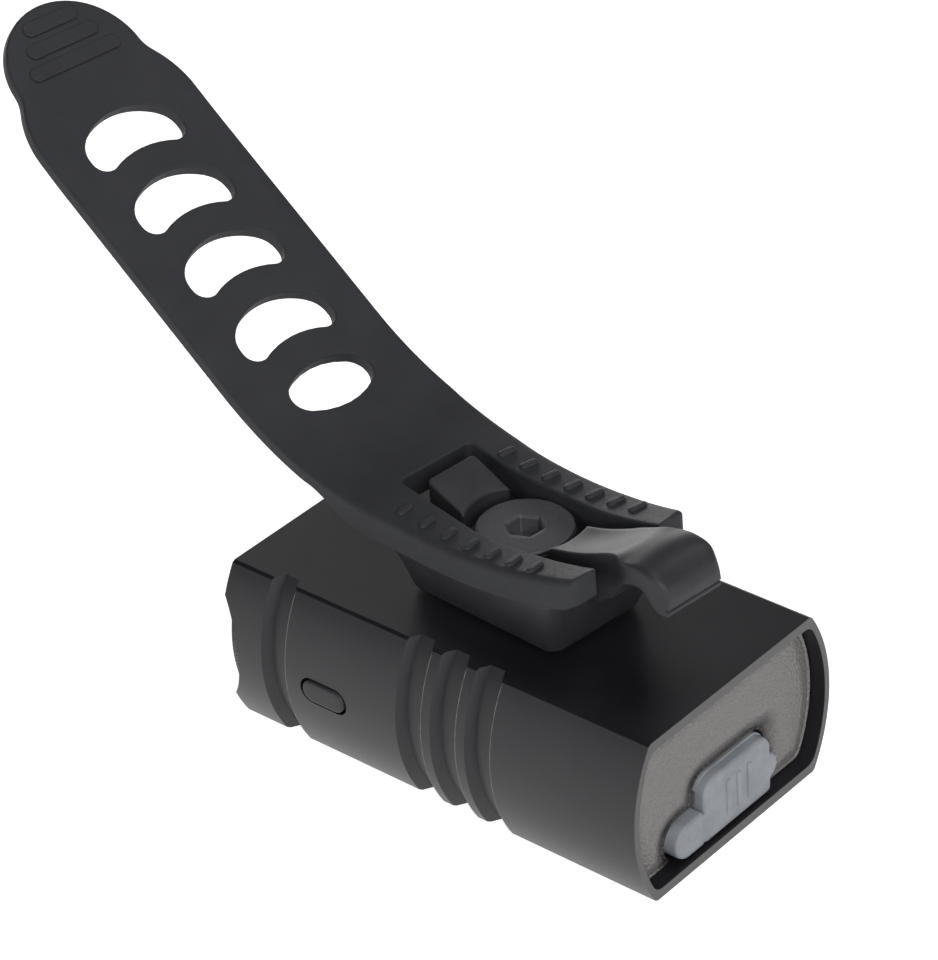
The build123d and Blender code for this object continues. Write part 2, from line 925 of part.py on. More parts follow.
def make_strap_fork():
    fork = across_shoe(fork_side_view(), tail_half_width + overrun)
    fork &= along_z(fork_plan() - fork_window(), 0, 2 * hook_height)
    y, z = flex_pivot()
    seat = Pos(y, z) * Circle(tail_thickness / 2 + flex_gap)
    fork -= across_shoe(seat, tail_half_width + overrun)
    for index in range(rib_count):
        for side in (-1, 1):
            place = rib_front - index * rib_pitch
            fork += raised_bar(place, side * rib_offset, rib_length, rib_width, rib_height)
    return on_lamp(fork)


def tail_outline():
    """Outline of the tail as it lies flat: x forward from the tip's end (negative), y across."""
    start = -strap_tip()
    shoulder = -shoulder_from_tip
    notch = -notch_from_tip
    centre = tail_half_width - shoulder_radius
    notch_half = centre + math.sqrt(shoulder_radius**2 - (notch - shoulder) ** 2)
    half_turn = math.asin((notch - shoulder) / shoulder_radius) / 2
    middle_along = shoulder + shoulder_radius * math.sin(half_turn)
    middle = (middle_along, centre + shoulder_radius * math.cos(half_turn))
    edges = [
        Line((start, -tail_half_width), (start, tail_half_width)),
        Line((start, tail_half_width), (shoulder, tail_half_width)),
        ThreePointArc((shoulder, tail_half_width), middle, (notch, notch_half)),
        ThreePointArc((notch, notch_half), (0, 0), (notch, -notch_half)),
        ThreePointArc((notch, -notch_half), (middle[0], -middle[1]), (shoulder, -tail_half_width)),
        Line((shoulder, -tail_half_width), (start, -tail_half_width)),
    ]
    outline = make_face(edges)
    notches = [v for v in outline.vertices() if abs(v.X - notch) < seat_gap]
    return fillet(notches, notch_round)


def crescent():
    """One crescent hole, its outer arc's top at the origin and its horns towards -x."""
    outer = Pos(-hole_outer_radius, 0) * Circle(hole_outer_radius)
    inner = Pos(-hole_opening - hole_inner_radius, 0) * Circle(hole_inner_radius)
    frame = Pos(-hole_drop / 2, 0) * Rectangle(hole_drop, 2 * hole_half_width)
    shape = (outer & frame) - inner
    ends = shape.vertices().group_by(Axis.X)[0].sort_by(Axis.Y)
    shape = fillet([ends[0], ends[-1]], hole_round)
    foot = [vertex for vertex in shape.vertices() if abs(vertex.X + hole_drop) < seat_gap]
    inner_ends = sorted(foot, key=lambda vertex: abs(vertex.Y))[:2]
    return fillet(inner_ends, hole_horn_round)


def oval():
    """The oval hole: two side arcs with rounded ends, its centre at the origin."""
    reach = oval_side_radius - oval_width / 2
    shape = (Pos(reach, 0) * Circle(oval_side_radius)) & (Pos(-reach, 0) * Circle(oval_side_radius))
    return fillet(shape.vertices(), oval_end_round)


def tail_cuts():
    """The crescent holes and the oval one, placed from the tip."""
    cuts = Pos(-oval_from_tip, 0) * oval()
    for index in range(hole_count):
        cuts += Pos(-hole_from_tip - index * hole_pitch, 0) * crescent()
    return cuts


def tail_prism(sketch):
    """Prism of a flat tail drawing, square to the tail's straight stretch."""
    straight_start = strap_breaks()[3]
    plane = surface_plane(straight_start, 0)
    ahead = strap_tip() - straight_start
    return extrude(plane * (Pos(ahead, 0) * sketch), amount=tip_arc_length, both=True)


def make_strap_tail():
    tip = strap_tip()
    lines = [
        Line(strap_point(flex_at, 0), strap_point(flex_at, tail_thickness)),
        Line(strap_point(tip, 0), strap_point(tip, tail_thickness)),
    ]
    side = make_face(lines + strap_run(flex_at, tip, 0) + strap_run(flex_at, tip, tail_thickness))
    y, z = flex_pivot()
    side += Pos(y, z) * Circle(tail_thickness / 2)
    tail = across_shoe(side, tail_half_width)
    tail &= tail_prism(tail_outline() - tail_cuts())
    for index, half_length in enumerate(bar_half_lengths):
        place = tip - bar_from_tip + index * bar_pitch
        tail += raised_bar(place, 0, 2 * half_length, bar_width, bar_height)
    return on_lamp(tail)


pieces = {
    "housing": make_housing,
    "front_lens": make_front_lens,
    "lens_gasket": make_lens_gasket,
    "reflector": make_reflector,
    "led_board": make_led_board,
    "led_emitters": make_led_emitters,
    "heat_spreader": make_heat_spreader,
    "control_board": make_control_board,
    "battery_pad": make_battery_pad,
    "battery_cell": make_battery_cell,
    "switch_board": make_switch_board,
    "button_switch": make_button_switch,
    "button_seal": make_button_seal,
    "button_cap": make_button_cap,
    "rear_cap": make_rear_cap,
    "rear_cap_gasket": make_rear_cap_gasket,
    "usb_socket": make_usb_socket,
    "cover_tether": make_cover_tether,
    "port_cover": make_port_cover,
    "mount_insert": make_mount_insert,
    "mount_screw": make_mount_screw,
    "mount_washer": make_mount_washer,
    "mount_base": make_mount_base,
    "strap_fork": make_strap_fork,
    "strap_tail": make_strap_tail,
}

os.makedirs("parts", exist_ok=True)
for name, make in pieces.items():
    export_step(make(), f"parts/{name}.step")

pivot_y, pivot_z = flex_pivot()
pivot = on_lamp(Pos(0, pivot_y, pivot_z))
print("strap flex axis passes through", pivot.position)
print("cover hinge axis at x, y", cover_hinge_x, cover_face)
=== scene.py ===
"""A bike headlight with a rubber strap mount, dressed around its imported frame."""

from math import acos, asin, atan2, ceil, copysign, cos, degrees, dist, exp, pi, radians, sin, sqrt, tan

import bmesh
import bpy
from mathutils import Matrix, Vector
from mathutils.geometry import delaunay_2d_cdt


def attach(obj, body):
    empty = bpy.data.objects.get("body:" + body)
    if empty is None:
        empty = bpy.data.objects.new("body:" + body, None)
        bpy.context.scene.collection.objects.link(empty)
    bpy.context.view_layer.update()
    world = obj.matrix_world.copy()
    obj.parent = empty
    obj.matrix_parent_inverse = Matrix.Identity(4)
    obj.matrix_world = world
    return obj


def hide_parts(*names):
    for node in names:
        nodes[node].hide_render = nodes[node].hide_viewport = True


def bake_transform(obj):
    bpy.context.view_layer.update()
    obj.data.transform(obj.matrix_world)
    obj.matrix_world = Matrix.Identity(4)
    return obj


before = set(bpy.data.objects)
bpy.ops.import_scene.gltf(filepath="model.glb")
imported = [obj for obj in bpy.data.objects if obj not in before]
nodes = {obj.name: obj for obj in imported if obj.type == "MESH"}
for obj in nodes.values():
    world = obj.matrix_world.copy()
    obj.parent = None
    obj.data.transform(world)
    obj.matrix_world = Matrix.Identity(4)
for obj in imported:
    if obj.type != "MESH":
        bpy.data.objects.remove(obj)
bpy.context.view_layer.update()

# Lengths are in millimetres until a mesh is made
MM = 0.001
SCREW_Y = 1.94
TOP_Z = 23.47
CASE_LENGTH = 66.75
MOUNT_YAW = radians(-6.3)
ON_LAMP = Matrix.Translation((0, SCREW_Y, TOP_Z)) @ Matrix.Rotation(MOUNT_YAW, 4, "Z")
IN_PLACE = Matrix.Identity(4)
TINY = 1e-4
NORMAL_WEIGHT = 80

# Camera
CAMERA_AT = (0.306282, 0.273469, 0.305963)
CAMERA_AZIMUTH = radians(132.4565)
CAMERA_ELEVATION = radians(32.9455)
CAMERA_ROLL = radians(-4.1239)
CAMERA_LENS = 150.586
FILM = 36.0


def link_object(name, data):
    made = bpy.data.objects.new(name, data)
    bpy.context.scene.collection.objects.link(made)
    return made


def place_camera():
    azimuth = CAMERA_AZIMUTH
    level = cos(CAMERA_ELEVATION)
    back = Vector((sin(azimuth) * level, -cos(azimuth) * level, sin(CAMERA_ELEVATION)))
    right = Vector((cos(azimuth), sin(azimuth), 0))
    up = back.cross(right)
    cos_roll, sin_roll = cos(CAMERA_ROLL), sin(CAMERA_ROLL)
    side = cos_roll * right + sin_roll * up
    upright = -sin_roll * right + cos_roll * up
    data = bpy.data.cameras.new("camera")
    data.sensor_fit = "VERTICAL"
    data.sensor_height = FILM
    data.lens = CAMERA_LENS
    data.clip_start, data.clip_end = 0.01, 50
    camera = link_object("camera", data)
    turn = Matrix((side, upright, back)).transposed().to_4x4()
    camera.matrix_world = Matrix.Translation(CAMERA_AT) @ turn
    bpy.context.scene.camera = camera


# Materials

# Most of a fine noise and most of a broad one lie between these values
FINE, BROAD = (0.3, 0.7), (0.35, 0.65)


class Graph:
    """A small helper that adds linked nodes to one node tree."""

    def __init__(self, tree):
        self.tree = tree

    def add(self, kind, **values):
        node = self.tree.nodes.new(kind)
        for key, value in values.items():
            if hasattr(node, key):
                setattr(node, key, value)
            else:
                node.inputs[key].default_value = value
        return node

    def link(self, out, socket):
        self.tree.links.new(out, socket)

    def ramp(self, value, low, high, out_low=0.0, out_high=1.0, curve="LINEAR"):
        node = self.add("ShaderNodeMapRange", clamp=True, interpolation_type=curve)
        for key, number in zip(("From Min", "From Max", "To Min", "To Max"), (low, high, out_low, out_high)):
            node.inputs[key].default_value = number
        self.link(value, node.inputs["Value"])
        return node.outputs["Result"]

    def math(self, operation, first, second=0.0):
        node = self.add("ShaderNodeMath", operation=operation)
        for socket, value in zip(node.inputs, (first, second)):
            if isinstance(value, (int, float)):
                socket.default_value = value
            else:
                self.link(value, socket)
        return node.outputs[0]


class Shader(Graph):
    """The nodes of one surface material."""

    def __init__(self, name, color, roughness, **sockets):
        self.material = bpy.data.materials.new(name)
        self.material.use_nodes = True
        super().__init__(self.material.node_tree)
        self.main = self.tree.nodes["Principled BSDF"]
        self.main.inputs["Base Color"].default_value = (*color, 1)
        self.main.inputs["Roughness"].default_value = roughness
        for key, value in sockets.items():
            self.main.inputs[key.replace("_", " ")].default_value = value
        self.where = self.add("ShaderNodeTexCoord").outputs["Object"]

    def noise(self, size, detail=3, rough=0.6):
        """Noise whose features are about size millimetres."""
        node = self.add("ShaderNodeTexNoise", Scale=1 / (size * MM), Detail=detail, Roughness=rough)
        self.link(self.where, node.inputs["Vector"])
        return node.outputs["Fac"]

    def cells(self, size):
        node = self.add("ShaderNodeTexVoronoi", Scale=1 / (size * MM), feature="SMOOTH_F1", Smoothness=0.6)
        self.link(self.where, node.inputs["Vector"])
        return node.outputs["Distance"]

    def axis(self, letter):
        """One coordinate of the surface point, in millimetres."""
        split = self.add("ShaderNodeSeparateXYZ")
        self.link(self.where, split.inputs[0])
        return self.math("MULTIPLY", split.outputs[letter], 1 / MM)

    def away(self, letter, place):
        """Distance in millimetres from a place on one axis."""
        return self.math("ABSOLUTE", self.math("SUBTRACT", self.axis(letter), place))

    def mix(self, share, color_a, color_b):
        node = self.add("ShaderNodeMix", data_type="RGBA")
        self.link(share, node.inputs[0])
        for socket, color in ((node.inputs[6], color_a), (node.inputs[7], color_b)):
            if isinstance(color, tuple):
                socket.default_value = (*color, 1)
            else:
                self.link(color, socket)
        return node.outputs[2]

    def color(self, share, dark, light):
        self.link(self.mix(share, dark, light), self.main.inputs["Base Color"])

    def rough(self, noise, low, high):
        self.link(self.ramp(noise, *FINE, low, high), self.main.inputs["Roughness"])

    def bump(self, height, strength, depth):
        """Bump of about depth millimetres."""
        node = self.add("ShaderNodeBump", Strength=strength, Distance=depth * MM)
        self.link(height, node.inputs["Height"])
        before = self.main.inputs["Normal"].links
        if before:
            self.link(before[0].from_socket, node.inputs["Normal"])
        self.link(node.outputs["Normal"], self.main.inputs["Normal"])


def dress(material, *node_names):
    """Give a material to nodes of the frame, and hand it back for the meshes that take their place."""
    for node_name in node_names:
        mesh = nodes[node_name].data
        mesh.materials.clear()
        mesh.materials.append(material)
    return material


def rubber_material(name, light, dark):
    shader = Shader(name, dark, 0.62, Specular_IOR_Level=0.28)
    mottle = shader.noise(0.55, 4, 0.62)
    fine_share = shader.ramp(mottle, *FINE, 0, 0.6)
    broad_share = shader.ramp(shader.noise(7.0, 2, 0.5), *BROAD, 0, 0.4)
    shader.color(shader.math("ADD", fine_share, broad_share), dark, light)
    shader.rough(mottle, 0.54, 0.7)
    shader.bump(shader.noise(0.22, 4), 0.5, 0.03)
    shader.bump(mottle, 0.35, 0.05)
    return shader.material


def moulded_material(name, light, dark):
    shader = Shader(name, dark, 0.5, Specular_IOR_Level=0.33)
    fine = shader.noise(0.18)
    shader.color(shader.ramp(shader.noise(5.0, 2, 0.5), *BROAD), dark, light)
    shader.rough(fine, 0.45, 0.57)
    shader.bump(fine, 0.35, 0.012)
    return shader.material


def plain_material(name, light, dark, roughness, size=0.4, metallic=0.0):
    shader = Shader(name, dark, roughness, Metallic=metallic, Specular_IOR_Level=0.5)
    grain = shader.noise(size, 3, 0.55)
    shader.color(shader.ramp(grain, *FINE), dark, light)
    shader.rough(grain, max(0.05, roughness - 0.06), roughness + 0.06)
    shader.bump(grain, 0.2, 0.01)
    return shader.material


# Grip grooves: the places along the case of the edges that catch the light
GROOVE_WIDTH = 4.05
FRONT_Y = -CASE_LENGTH / 2
GROOVES = [FRONT_Y + 8.8] + [FRONT_Y + 31.275 + index * 5.55 for index in range(3)]
GROOVE_EDGES = [place + GROOVE_WIDTH / 2 for place in GROOVES]
# Half width of a painted highlight line where it is full and where it ends
LINE_FULL, LINE_END = 0.05, 0.14
# The lines lie on the bulged sides, past this distance from the middle
BULGE = (16.2, 16.6)
# The rim's painted highlight line, as distances from the rear end
RIM_START, RIM_FULL = 0.12, 0.04


def case_material():
    """Satin anodised case with fine blasting grain and thin painted highlight lines on its edges."""
    shader = Shader("anodised_case", (0.011, 0.011, 0.0135), 0.31, Specular_IOR_Level=0.44)
    blast = shader.noise(0.12, 2)
    broad = shader.ramp(shader.noise(9.0, 2, 0.5), *BROAD)
    body = shader.mix(broad, (0.0085, 0.008, 0.011), (0.0115, 0.0108, 0.0138))
    # painted highlight: light lines on the groove edges and the rear rim, broken up by noise
    highlight_lines = 0.0
    for edge in GROOVE_EDGES:
        mark = shader.ramp(shader.away("Y", edge), LINE_FULL, LINE_END, 1.0, 0.0)
        highlight_lines = shader.math("MAXIMUM", highlight_lines, mark)
    highlight_lines = shader.math("MULTIPLY", highlight_lines, shader.ramp(shader.away("X", 0.0), *BULGE))
    highlight_lines = shader.math("MULTIPLY", highlight_lines, shader.ramp(shader.noise(1.4), 0.3, 0.6, 0.35, 1.0))
    rim = shader.ramp(shader.axis("Y"), CASE_LENGTH / 2 - RIM_START, CASE_LENGTH / 2 - RIM_FULL)
    shader.color(shader.math("MAXIMUM", highlight_lines, shader.math("MULTIPLY", rim, 0.25)), body, (0.24, 0.23, 0.225))
    shader.rough(blast, 0.34, 0.42)
    shader.bump(blast, 0.4, 0.012)
    return shader.material


# Areas of the rear plate that the cover and its tether take: centre and half width in x, top in z
COVER_AREAS = [(-1.4, 6.7, 10.5), (8.1, 2.8, 6.55)]
# Distance from them, with some noise added, at which the painted shade is full and at which it ends
PAINTED_SHADE = (0.9, 3.4)
FAR = 1000.0


def grained_material():
    """Rear plate: pebbled moulding grain, with painted shade in the hollow round the cover."""
    shader = Shader("grained_plastic", (0.1, 0.093, 0.09), 0.5, Specular_IOR_Level=0.4)
    fine = shader.noise(0.3)
    body = shader.mix(shader.ramp(fine, *FINE), (0.195, 0.182, 0.181), (0.25, 0.236, 0.235))
    nearest = FAR
    for centre, half, top in COVER_AREAS:
        beside = shader.math("MAXIMUM", shader.math("SUBTRACT", shader.away("X", centre), half), 0.0)
        above = shader.math("MAXIMUM", shader.math("SUBTRACT", shader.axis("Z"), top), 0.0)
        squares = shader.math("ADD", shader.math("POWER", beside, 2.0), shader.math("POWER", above, 2.0))
        nearest = shader.math("MINIMUM", nearest, shader.math("SQRT", squares))
    shade_noise = shader.ramp(fine, *FINE, 0.0, 0.9)
    # painted shade: the plate turns dark near the cover and its tether
    shader.color(shader.ramp(shader.math("ADD", nearest, shade_noise), *PAINTED_SHADE), (0.022, 0.02, 0.02), body)
    shader.rough(fine, 0.42, 0.55)
    shader.bump(shader.cells(0.4), 1.0, 0.2)
    shader.bump(fine, 0.4, 0.04)
    return shader.material


def silicone_material():
    glow = {"Subsurface_Weight": 0.15, "Subsurface_Scale": 0.0008}
    shader = Shader("grey_silicone", (0.3, 0.32, 0.35), 0.5, Specular_IOR_Level=0.4, **glow)
    fine = shader.noise(0.2)
    haze = shader.ramp(shader.noise(2.4, 3, 0.55), *FINE)
    shader.color(haze, (0.27, 0.29, 0.32), (0.34, 0.36, 0.39))
    shader.rough(fine, 0.44, 0.58)
    shader.bump(fine, 0.25, 0.015)
    return shader.material


def steel_material():
    """Coated screw steel with a fine bead-blasted grain."""
    shader = Shader("screw_steel", (0.1, 0.098, 0.106), 0.5, Metallic=0.55, Specular_IOR_Level=0.4)
    grain = shader.noise(0.16, 3, 0.65)
    shader.color(shader.ramp(grain, *FINE), (0.075, 0.073, 0.08), (0.13, 0.127, 0.138))
    shader.rough(grain, 0.42, 0.6)
    shader.bump(grain, 0.6, 0.02)
    return shader.material


def lens_material():
    shader = Shader("clear_lens", (0.97, 0.98, 1.0), 0.03, Transmission_Weight=1.0, IOR=1.49)
    haze = shader.noise(6.0, 2, 0.5)
    shader.rough(haze, 0.02, 0.05)
    shader.bump(haze, 0.05, 0.02)
    return shader.material


def phosphor_material():
    shader = Shader("led_phosphor", (0.85, 0.68, 0.12), 0.35, Specular_IOR_Level=0.5)
    grain = shader.noise(0.25)
    shader.color(shader.ramp(grain, *FINE), (0.78, 0.6, 0.08), (0.9, 0.76, 0.22))
    shader.bump(grain, 0.2, 0.01)
    return shader.material


dress(case_material(), "housing")
dress(lens_material(), "front_lens")
grained = dress(grained_material(), "rear_cap")
silicone = dress(silicone_material(), "cover_tether", "port_cover")
steel = dress(steel_material(), "mount_screw")
phosphor = dress(phosphor_material(), "led_emitters")
strap_rubber = rubber_material("strap_rubber", (0.036, 0.037, 0.042), (0.025, 0.026, 0.03))
dress(strap_rubber, "strap_fork", "strap_tail")
shoe_plastic = moulded_material("shoe_plastic", (0.033, 0.033, 0.037), (0.026, 0.026, 0.03))
dress(shoe_plastic, "mount_base")
button_rubber = moulded_material("button_rubber", (0.034, 0.034, 0.037), (0.027, 0.027, 0.03))
dress(button_rubber, "button_cap")
reflector_metal = plain_material("reflector_metal", (0.9, 0.9, 0.92), (0.86, 0.86, 0.88), 0.12, 1.5, 1.0)
dress(reflector_metal, "reflector")
# The other pieces: material, light tone, dark tone, roughness, then grain size and metallic share
OTHERS = {
    ("mount_washer",): ("washer_plastic", (0.02, 0.02, 0.022), (0.015, 0.015, 0.017), 0.45),
    ("lens_gasket", "button_seal", "rear_cap_gasket"): (
        "seal_rubber", (0.03, 0.03, 0.032), (0.02, 0.02, 0.022), 0.65
    ),
    ("led_board",): ("board_metal", (0.75, 0.75, 0.74), (0.68, 0.68, 0.67), 0.45, 0.8),
    ("heat_spreader",): ("bare_aluminium", (0.72, 0.72, 0.73), (0.62, 0.62, 0.63), 0.4, 0.5, 1.0),
    ("control_board", "switch_board"): ("circuit_board", (0.02, 0.11, 0.05), (0.012, 0.08, 0.035), 0.4, 1.2),
    ("battery_pad",): ("foam_pad", (0.09, 0.09, 0.09), (0.05, 0.05, 0.05), 0.9, 0.35),
    ("battery_cell",): ("cell_wrap", (0.06, 0.2, 0.42), (0.045, 0.16, 0.36), 0.35, 2.0),
    ("button_switch",): ("switch_plastic", (0.05, 0.05, 0.05), (0.03, 0.03, 0.03), 0.5),
    ("usb_socket",): ("socket_steel", (0.62, 0.62, 0.63), (0.52, 0.52, 0.53), 0.3, 0.6, 1.0),
    ("mount_insert",): ("insert_brass", (0.68, 0.5, 0.2), (0.58, 0.42, 0.16), 0.35, 0.4, 1.0),
}
for node_names, look in OTHERS.items():
    dress(plain_material(*look), *node_names)


# Mesh tools


def finish_mesh(name, parts, material, place=IN_PLACE):
    """Make one smooth object from closed parts in millimetres, put in place by a matrix."""
    work = bmesh.new()
    for points, faces in parts:
        corners = [work.verts.new((place @ Vector(point)) * MM) for point in points]
        for face in faces:
            loop = [corners[index] for index in face]
            if len(set(loop)) == len(loop):
                work.faces.new(loop)
    bmesh.ops.remove_doubles(work, verts=work.verts, dist=TINY * MM)
    bmesh.ops.recalc_face_normals(work, faces=work.faces)
    mesh = bpy.data.meshes.new(name)
    work.to_mesh(mesh)
    work.free()
    mesh.materials.append(material)
    for polygon in mesh.polygons:
        polygon.use_smooth = True
    made = link_object(name, mesh)
    modifier = made.modifiers.new("even_normals", "WEIGHTED_NORMAL")
    modifier.mode = "FACE_AREA"
    modifier.weight = NORMAL_WEIGHT
    return made


def arc_points(centre, radius, start, end, count):
    """Points on an arc, angles in degrees."""
    points = []
    for index in range(count + 1):
        angle = radians(start + (end - start) * index / count)
        points.append((centre[0] + radius * cos(angle), centre[1] + radius * sin(angle)))
    return points


def between(first, last, share):
    return tuple(p + (q - p) * share for p, q in zip(first, last))


def spline(a, b, c, d, t):
    """Value between b and c on a smooth curve through four values."""
    bend = 2 * a - 5 * b + 4 * c - d
    twist = 3 * b - a - 3 * c + d
    return (2 * b + (c - a) * t + bend * t**2 + twist * t**3) / 2


def smooth_line(points, parts):
    """Open curve through points, which may carry any number of values."""
    out = []
    last = len(points) - 1
    for index in range(last):
        around = [points[min(max(index + step, 0), last)] for step in (-1, 0, 1, 2)]
        for part in range(parts):
            out.append(tuple(spline(*values, part / parts) for values in zip(*around)))
    out.append(tuple(points[-1]))
    return out


def rounded_path(corners, radii, parts=6):
    """Closed path through corners, each rounded by its own radius."""
    path = []
    for index, radius in enumerate(radii):
        before, here = Vector(corners[index - 1]), Vector(corners[index])
        after = Vector(corners[(index + 1) % len(corners)])
        if not radius:
            path.append(tuple(here))
            continue
        to_before, to_after = (before - here).normalized(), (after - here).normalized()
        half = to_before.angle(to_after) / 2
        reach = radius / tan(half)
        centre = here + (to_before + to_after).normalized() * (radius / sin(half))
        first, last = here + to_before * reach - centre, here + to_after * reach - centre
        turn = first.angle_signed(last)
        for part in range(parts + 1):
            path.append(tuple(centre + Matrix.Rotation(-turn * part / parts, 2) @ first))
    return path


def resample(path, step, closed=True):
    """Path with extra points so that no edge is longer than step."""
    ends = path + path[:1] if closed else path
    out = []
    for first, last in zip(ends, ends[1:]):
        length = dist(first, last)
        if length < TINY:
            continue
        parts = max(1, ceil(length / step))
        out += [between(first, last, part / parts) for part in range(parts)]
    return out if closed else out + [path[-1]]


def signed_area(path):
    return sum(x0 * y1 - x1 * y0 for (x0, y0), (x1, y1) in zip(path, path[1:] + path[:1])) / 2


def turned(path, counter_clockwise):
    return path if (signed_area(path) > 0) == counter_clockwise else path[::-1]


def inward(path):
    """Unit normals to the left of a closed path, stretched at its turns."""
    normals = []
    for index, point in enumerate(path):
        here = Vector(point)
        first = (here - Vector(path[index - 1])).normalized()
        last = (Vector(path[(index + 1) % len(path)]) - here).normalized()
        flat = Vector((-first.y, first.x))
        left = (flat + Vector((-last.y, last.x))).normalized()
        normals.append(left / max(0.5, left.dot(flat)))
    return normals


def inside(point, path):
    x, y = point
    hit = False
    for (x0, y0), (x1, y1) in zip(path, path[1:] + path[:1]):
        if (y0 > y) != (y1 > y) and x < x0 + (y - y0) / (y1 - y0) * (x1 - x0):
            hit = not hit
    return hit


def fill(loops, spacing):
    """Triangles of the area between an outer loop and its holes, with inner points."""
    points, edges = [], []
    for loop in loops:
        start = len(points)
        points += loop
        edges += [(start + i, start + (i + 1) % len(loop)) for i in range(len(loop))]
    rim = list(points)
    outer, holes = loops[0], loops[1:]

    def within(place):
        return inside(place, outer) and not any(inside(place, hole) for hole in holes)

    low = [min(point[axis] for point in outer) for axis in (0, 1)]
    high = [max(point[axis] for point in outer) for axis in (0, 1)]
    counts = [int((high[axis] - low[axis]) / spacing) + 1 for axis in (0, 1)]
    for column in range(counts[0] + 1):
        for row in range(counts[1] + 1):
            x = low[0] + (high[0] - low[0]) * column / counts[0]
            y = low[1] + (high[1] - low[1]) * row / counts[1]
            if within((x, y)) and min((x - p[0]) ** 2 + (y - p[1]) ** 2 for p in rim) > (0.55 * spacing) ** 2:
                points.append((x, y))
    result = delaunay_2d_cdt([Vector(point) for point in points], edges, [], 1, 1e-5)
    places = [tuple(place) for place in result[0]]
    kept = []
    for face in result[2]:
        corners = [places[i] for i in face]
        if within(tuple(sum(values) / len(face) for values in zip(*corners))):
            kept.append(tuple(face) if signed_area(corners) > 0 else tuple(face)[::-1])
    return places, kept


def flat_key(place):
    return tuple(round(value, 4) for value in place[:2])


def add_cap(points, faces, rims, spacing, lift, flip):
    """Close rims, each a first index and a count, with a filled face raised by lift(x, y)."""
    flat = [[points[start + i][:2] for i in range(count)] for start, count in rims]
    known = {flat_key(points[start + i]): start + i for start, count in rims for i in range(count)}
    places, triangles = fill(flat, spacing)
    numbers = []
    for place in places:
        key = flat_key(place)
        if key not in known:
            known[key] = len(points)
            points.append(lift(*place))
        numbers.append(known[key])
    for triangle in triangles:
        corner = tuple(numbers[i] for i in triangle)
        faces.append(corner[::-1] if flip else corner)


def rounded_plate(loops, spacing, top_round, low_round, steps=4):
    """A plate with rounded rims. Each point is (x, y, depth below top or None, height above bottom).

    top_round and low_round give the rim's radius for a loop's index and a point on it."""
    points, faces = [], []
    loops = [turned(loop, index == 0) for index, loop in enumerate(loops)]
    caps = {True: [], False: []}
    for index, loop in enumerate(loops):
        normals = inward(loop)
        starts = []
        levels = [(True, step / steps) for step in range(steps + 1)]
        levels += [(False, 1 - step / steps) for step in range(steps + 1)]
        for top, share in levels:
            starts.append(len(points))
            angle = share * pi / 2
            for point, normal in zip(loop, normals):
                radius = (top_round if top else low_round)(index, point)
                inset, level = radius * (1 - sin(angle)), radius * (1 - cos(angle))
                x, y = point[0] + normal.x * inset, point[1] + normal.y * inset
                points.append((x, y, level, None) if top else (x, y, None, level))
        add_bands(faces, starts, len(loop))
        caps[True].append((starts[0], len(loop)))
        caps[False].append((starts[-1], len(loop)))
    add_cap(points, faces, caps[True], spacing, lambda x, y: (x, y, 0.0, None), False)
    add_cap(points, faces, caps[False], spacing, lambda x, y: (x, y, None, 0.0), True)
    return points, faces


def add_bands(faces, starts, count):
    """Quads between rings of count points that begin at the given indices."""
    for first, last in zip(starts, starts[1:]):
        for i in range(count):
            j = (i + 1) % count
            faces.append((first + i, last + i, last + j, first + j))


def plate(loops, spacing, top_round, low_round, lift):
    """Rounded plate whose points are placed by lift(x, y, depth, height)."""
    points, faces = rounded_plate(loops, spacing, lambda *_: top_round, lambda *_: low_round)
    return [lift(*point) for point in points], faces


def stack(rings, closed=True):
    """Rings of equal length joined one after another; where closed, the end rings get a face."""
    points = [point for ring in rings for point in ring]
    count = len(rings[0])
    faces = []
    add_bands(faces, range(0, len(points), count), count)
    if closed:
        faces.append(tuple(range(count))[::-1])
        faces.append(tuple(range(len(points) - count, len(points))))
    return points, faces


def circle(radius, level, sides=96):
    angles = [2 * pi * k / sides for k in range(sides)]
    return [(radius * cos(angle), radius * sin(angle), level) for angle in angles]


def rounded_box(low, high, radius):
    """Rectangle between two corners, all four rounded alike."""
    (x0, y0), (x1, y1) = low, high
    return rounded_path([(x0, y0), (x1, y0), (x1, y1), (x0, y1)], [radius] * 4)


def facing(face, back):
    """Placing of a plate that faces the rear, or the front where its back lies behind its face."""
    rearward = 1 if face > back else -1

    def lift(x, z, depth, height):
        return (x, face - rearward * depth if depth is not None else back + rearward * height, z)

    return lift


def swap_in(made, node_name, body):
    """Put a mesh in the place of one node, on that node's body."""
    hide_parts(node_name)
    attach(made, body)


# Strap

STRAP_LOW = (-6.0, 11.35)
REAR_ARC, FRONT_ARC, BEND, TIP_ARC = 75.0, 125.0, 48.7, 190.0
PRONG_END, STRAIGHT, TIP_LENGTH = 17.4, 32.4, 26.2
FRONT_SLOPE, TAIL_SLOPE = radians(5.5), radians(33.0)
END_ANGLE = asin((PRONG_END - STRAP_LOW[0]) / REAR_ARC)
PRONG_ALONG = (asin(-STRAP_LOW[0] / REAR_ARC) - END_ANGLE) * REAR_ARC
# Length and radius of the arcs that follow one another along the strap; the straight part has none
STRETCHES = [(END_ANGLE * REAR_ARC, REAR_ARC), (FRONT_SLOPE * FRONT_ARC, FRONT_ARC)]
STRETCHES += [((TAIL_SLOPE - FRONT_SLOPE) * BEND, BEND), (STRAIGHT, 0), (TIP_LENGTH, TIP_ARC)]
TIP_ALONG = PRONG_ALONG + sum(length for length, _ in STRETCHES)
FORK_THICK, TAIL_THICK = 4.1, 2.0
TAIL_HALF = 12.85
PRONG_HALF = 10.3
# The two prongs aren't of the same length: the one on the button's side is a little longer
PRONG_ENDS = {1: PRONG_ALONG - 1.8, -1: PRONG_ALONG - 0.3}
WINDOW_FRONT = 17.0
WINDOW_HALF = 5.95
WINDOW_POINTS = 30
# The window is a little wider round the screw: by how much and over what length
WINDOW_BULGE, BULGE_LENGTH = 0.4, 5.0
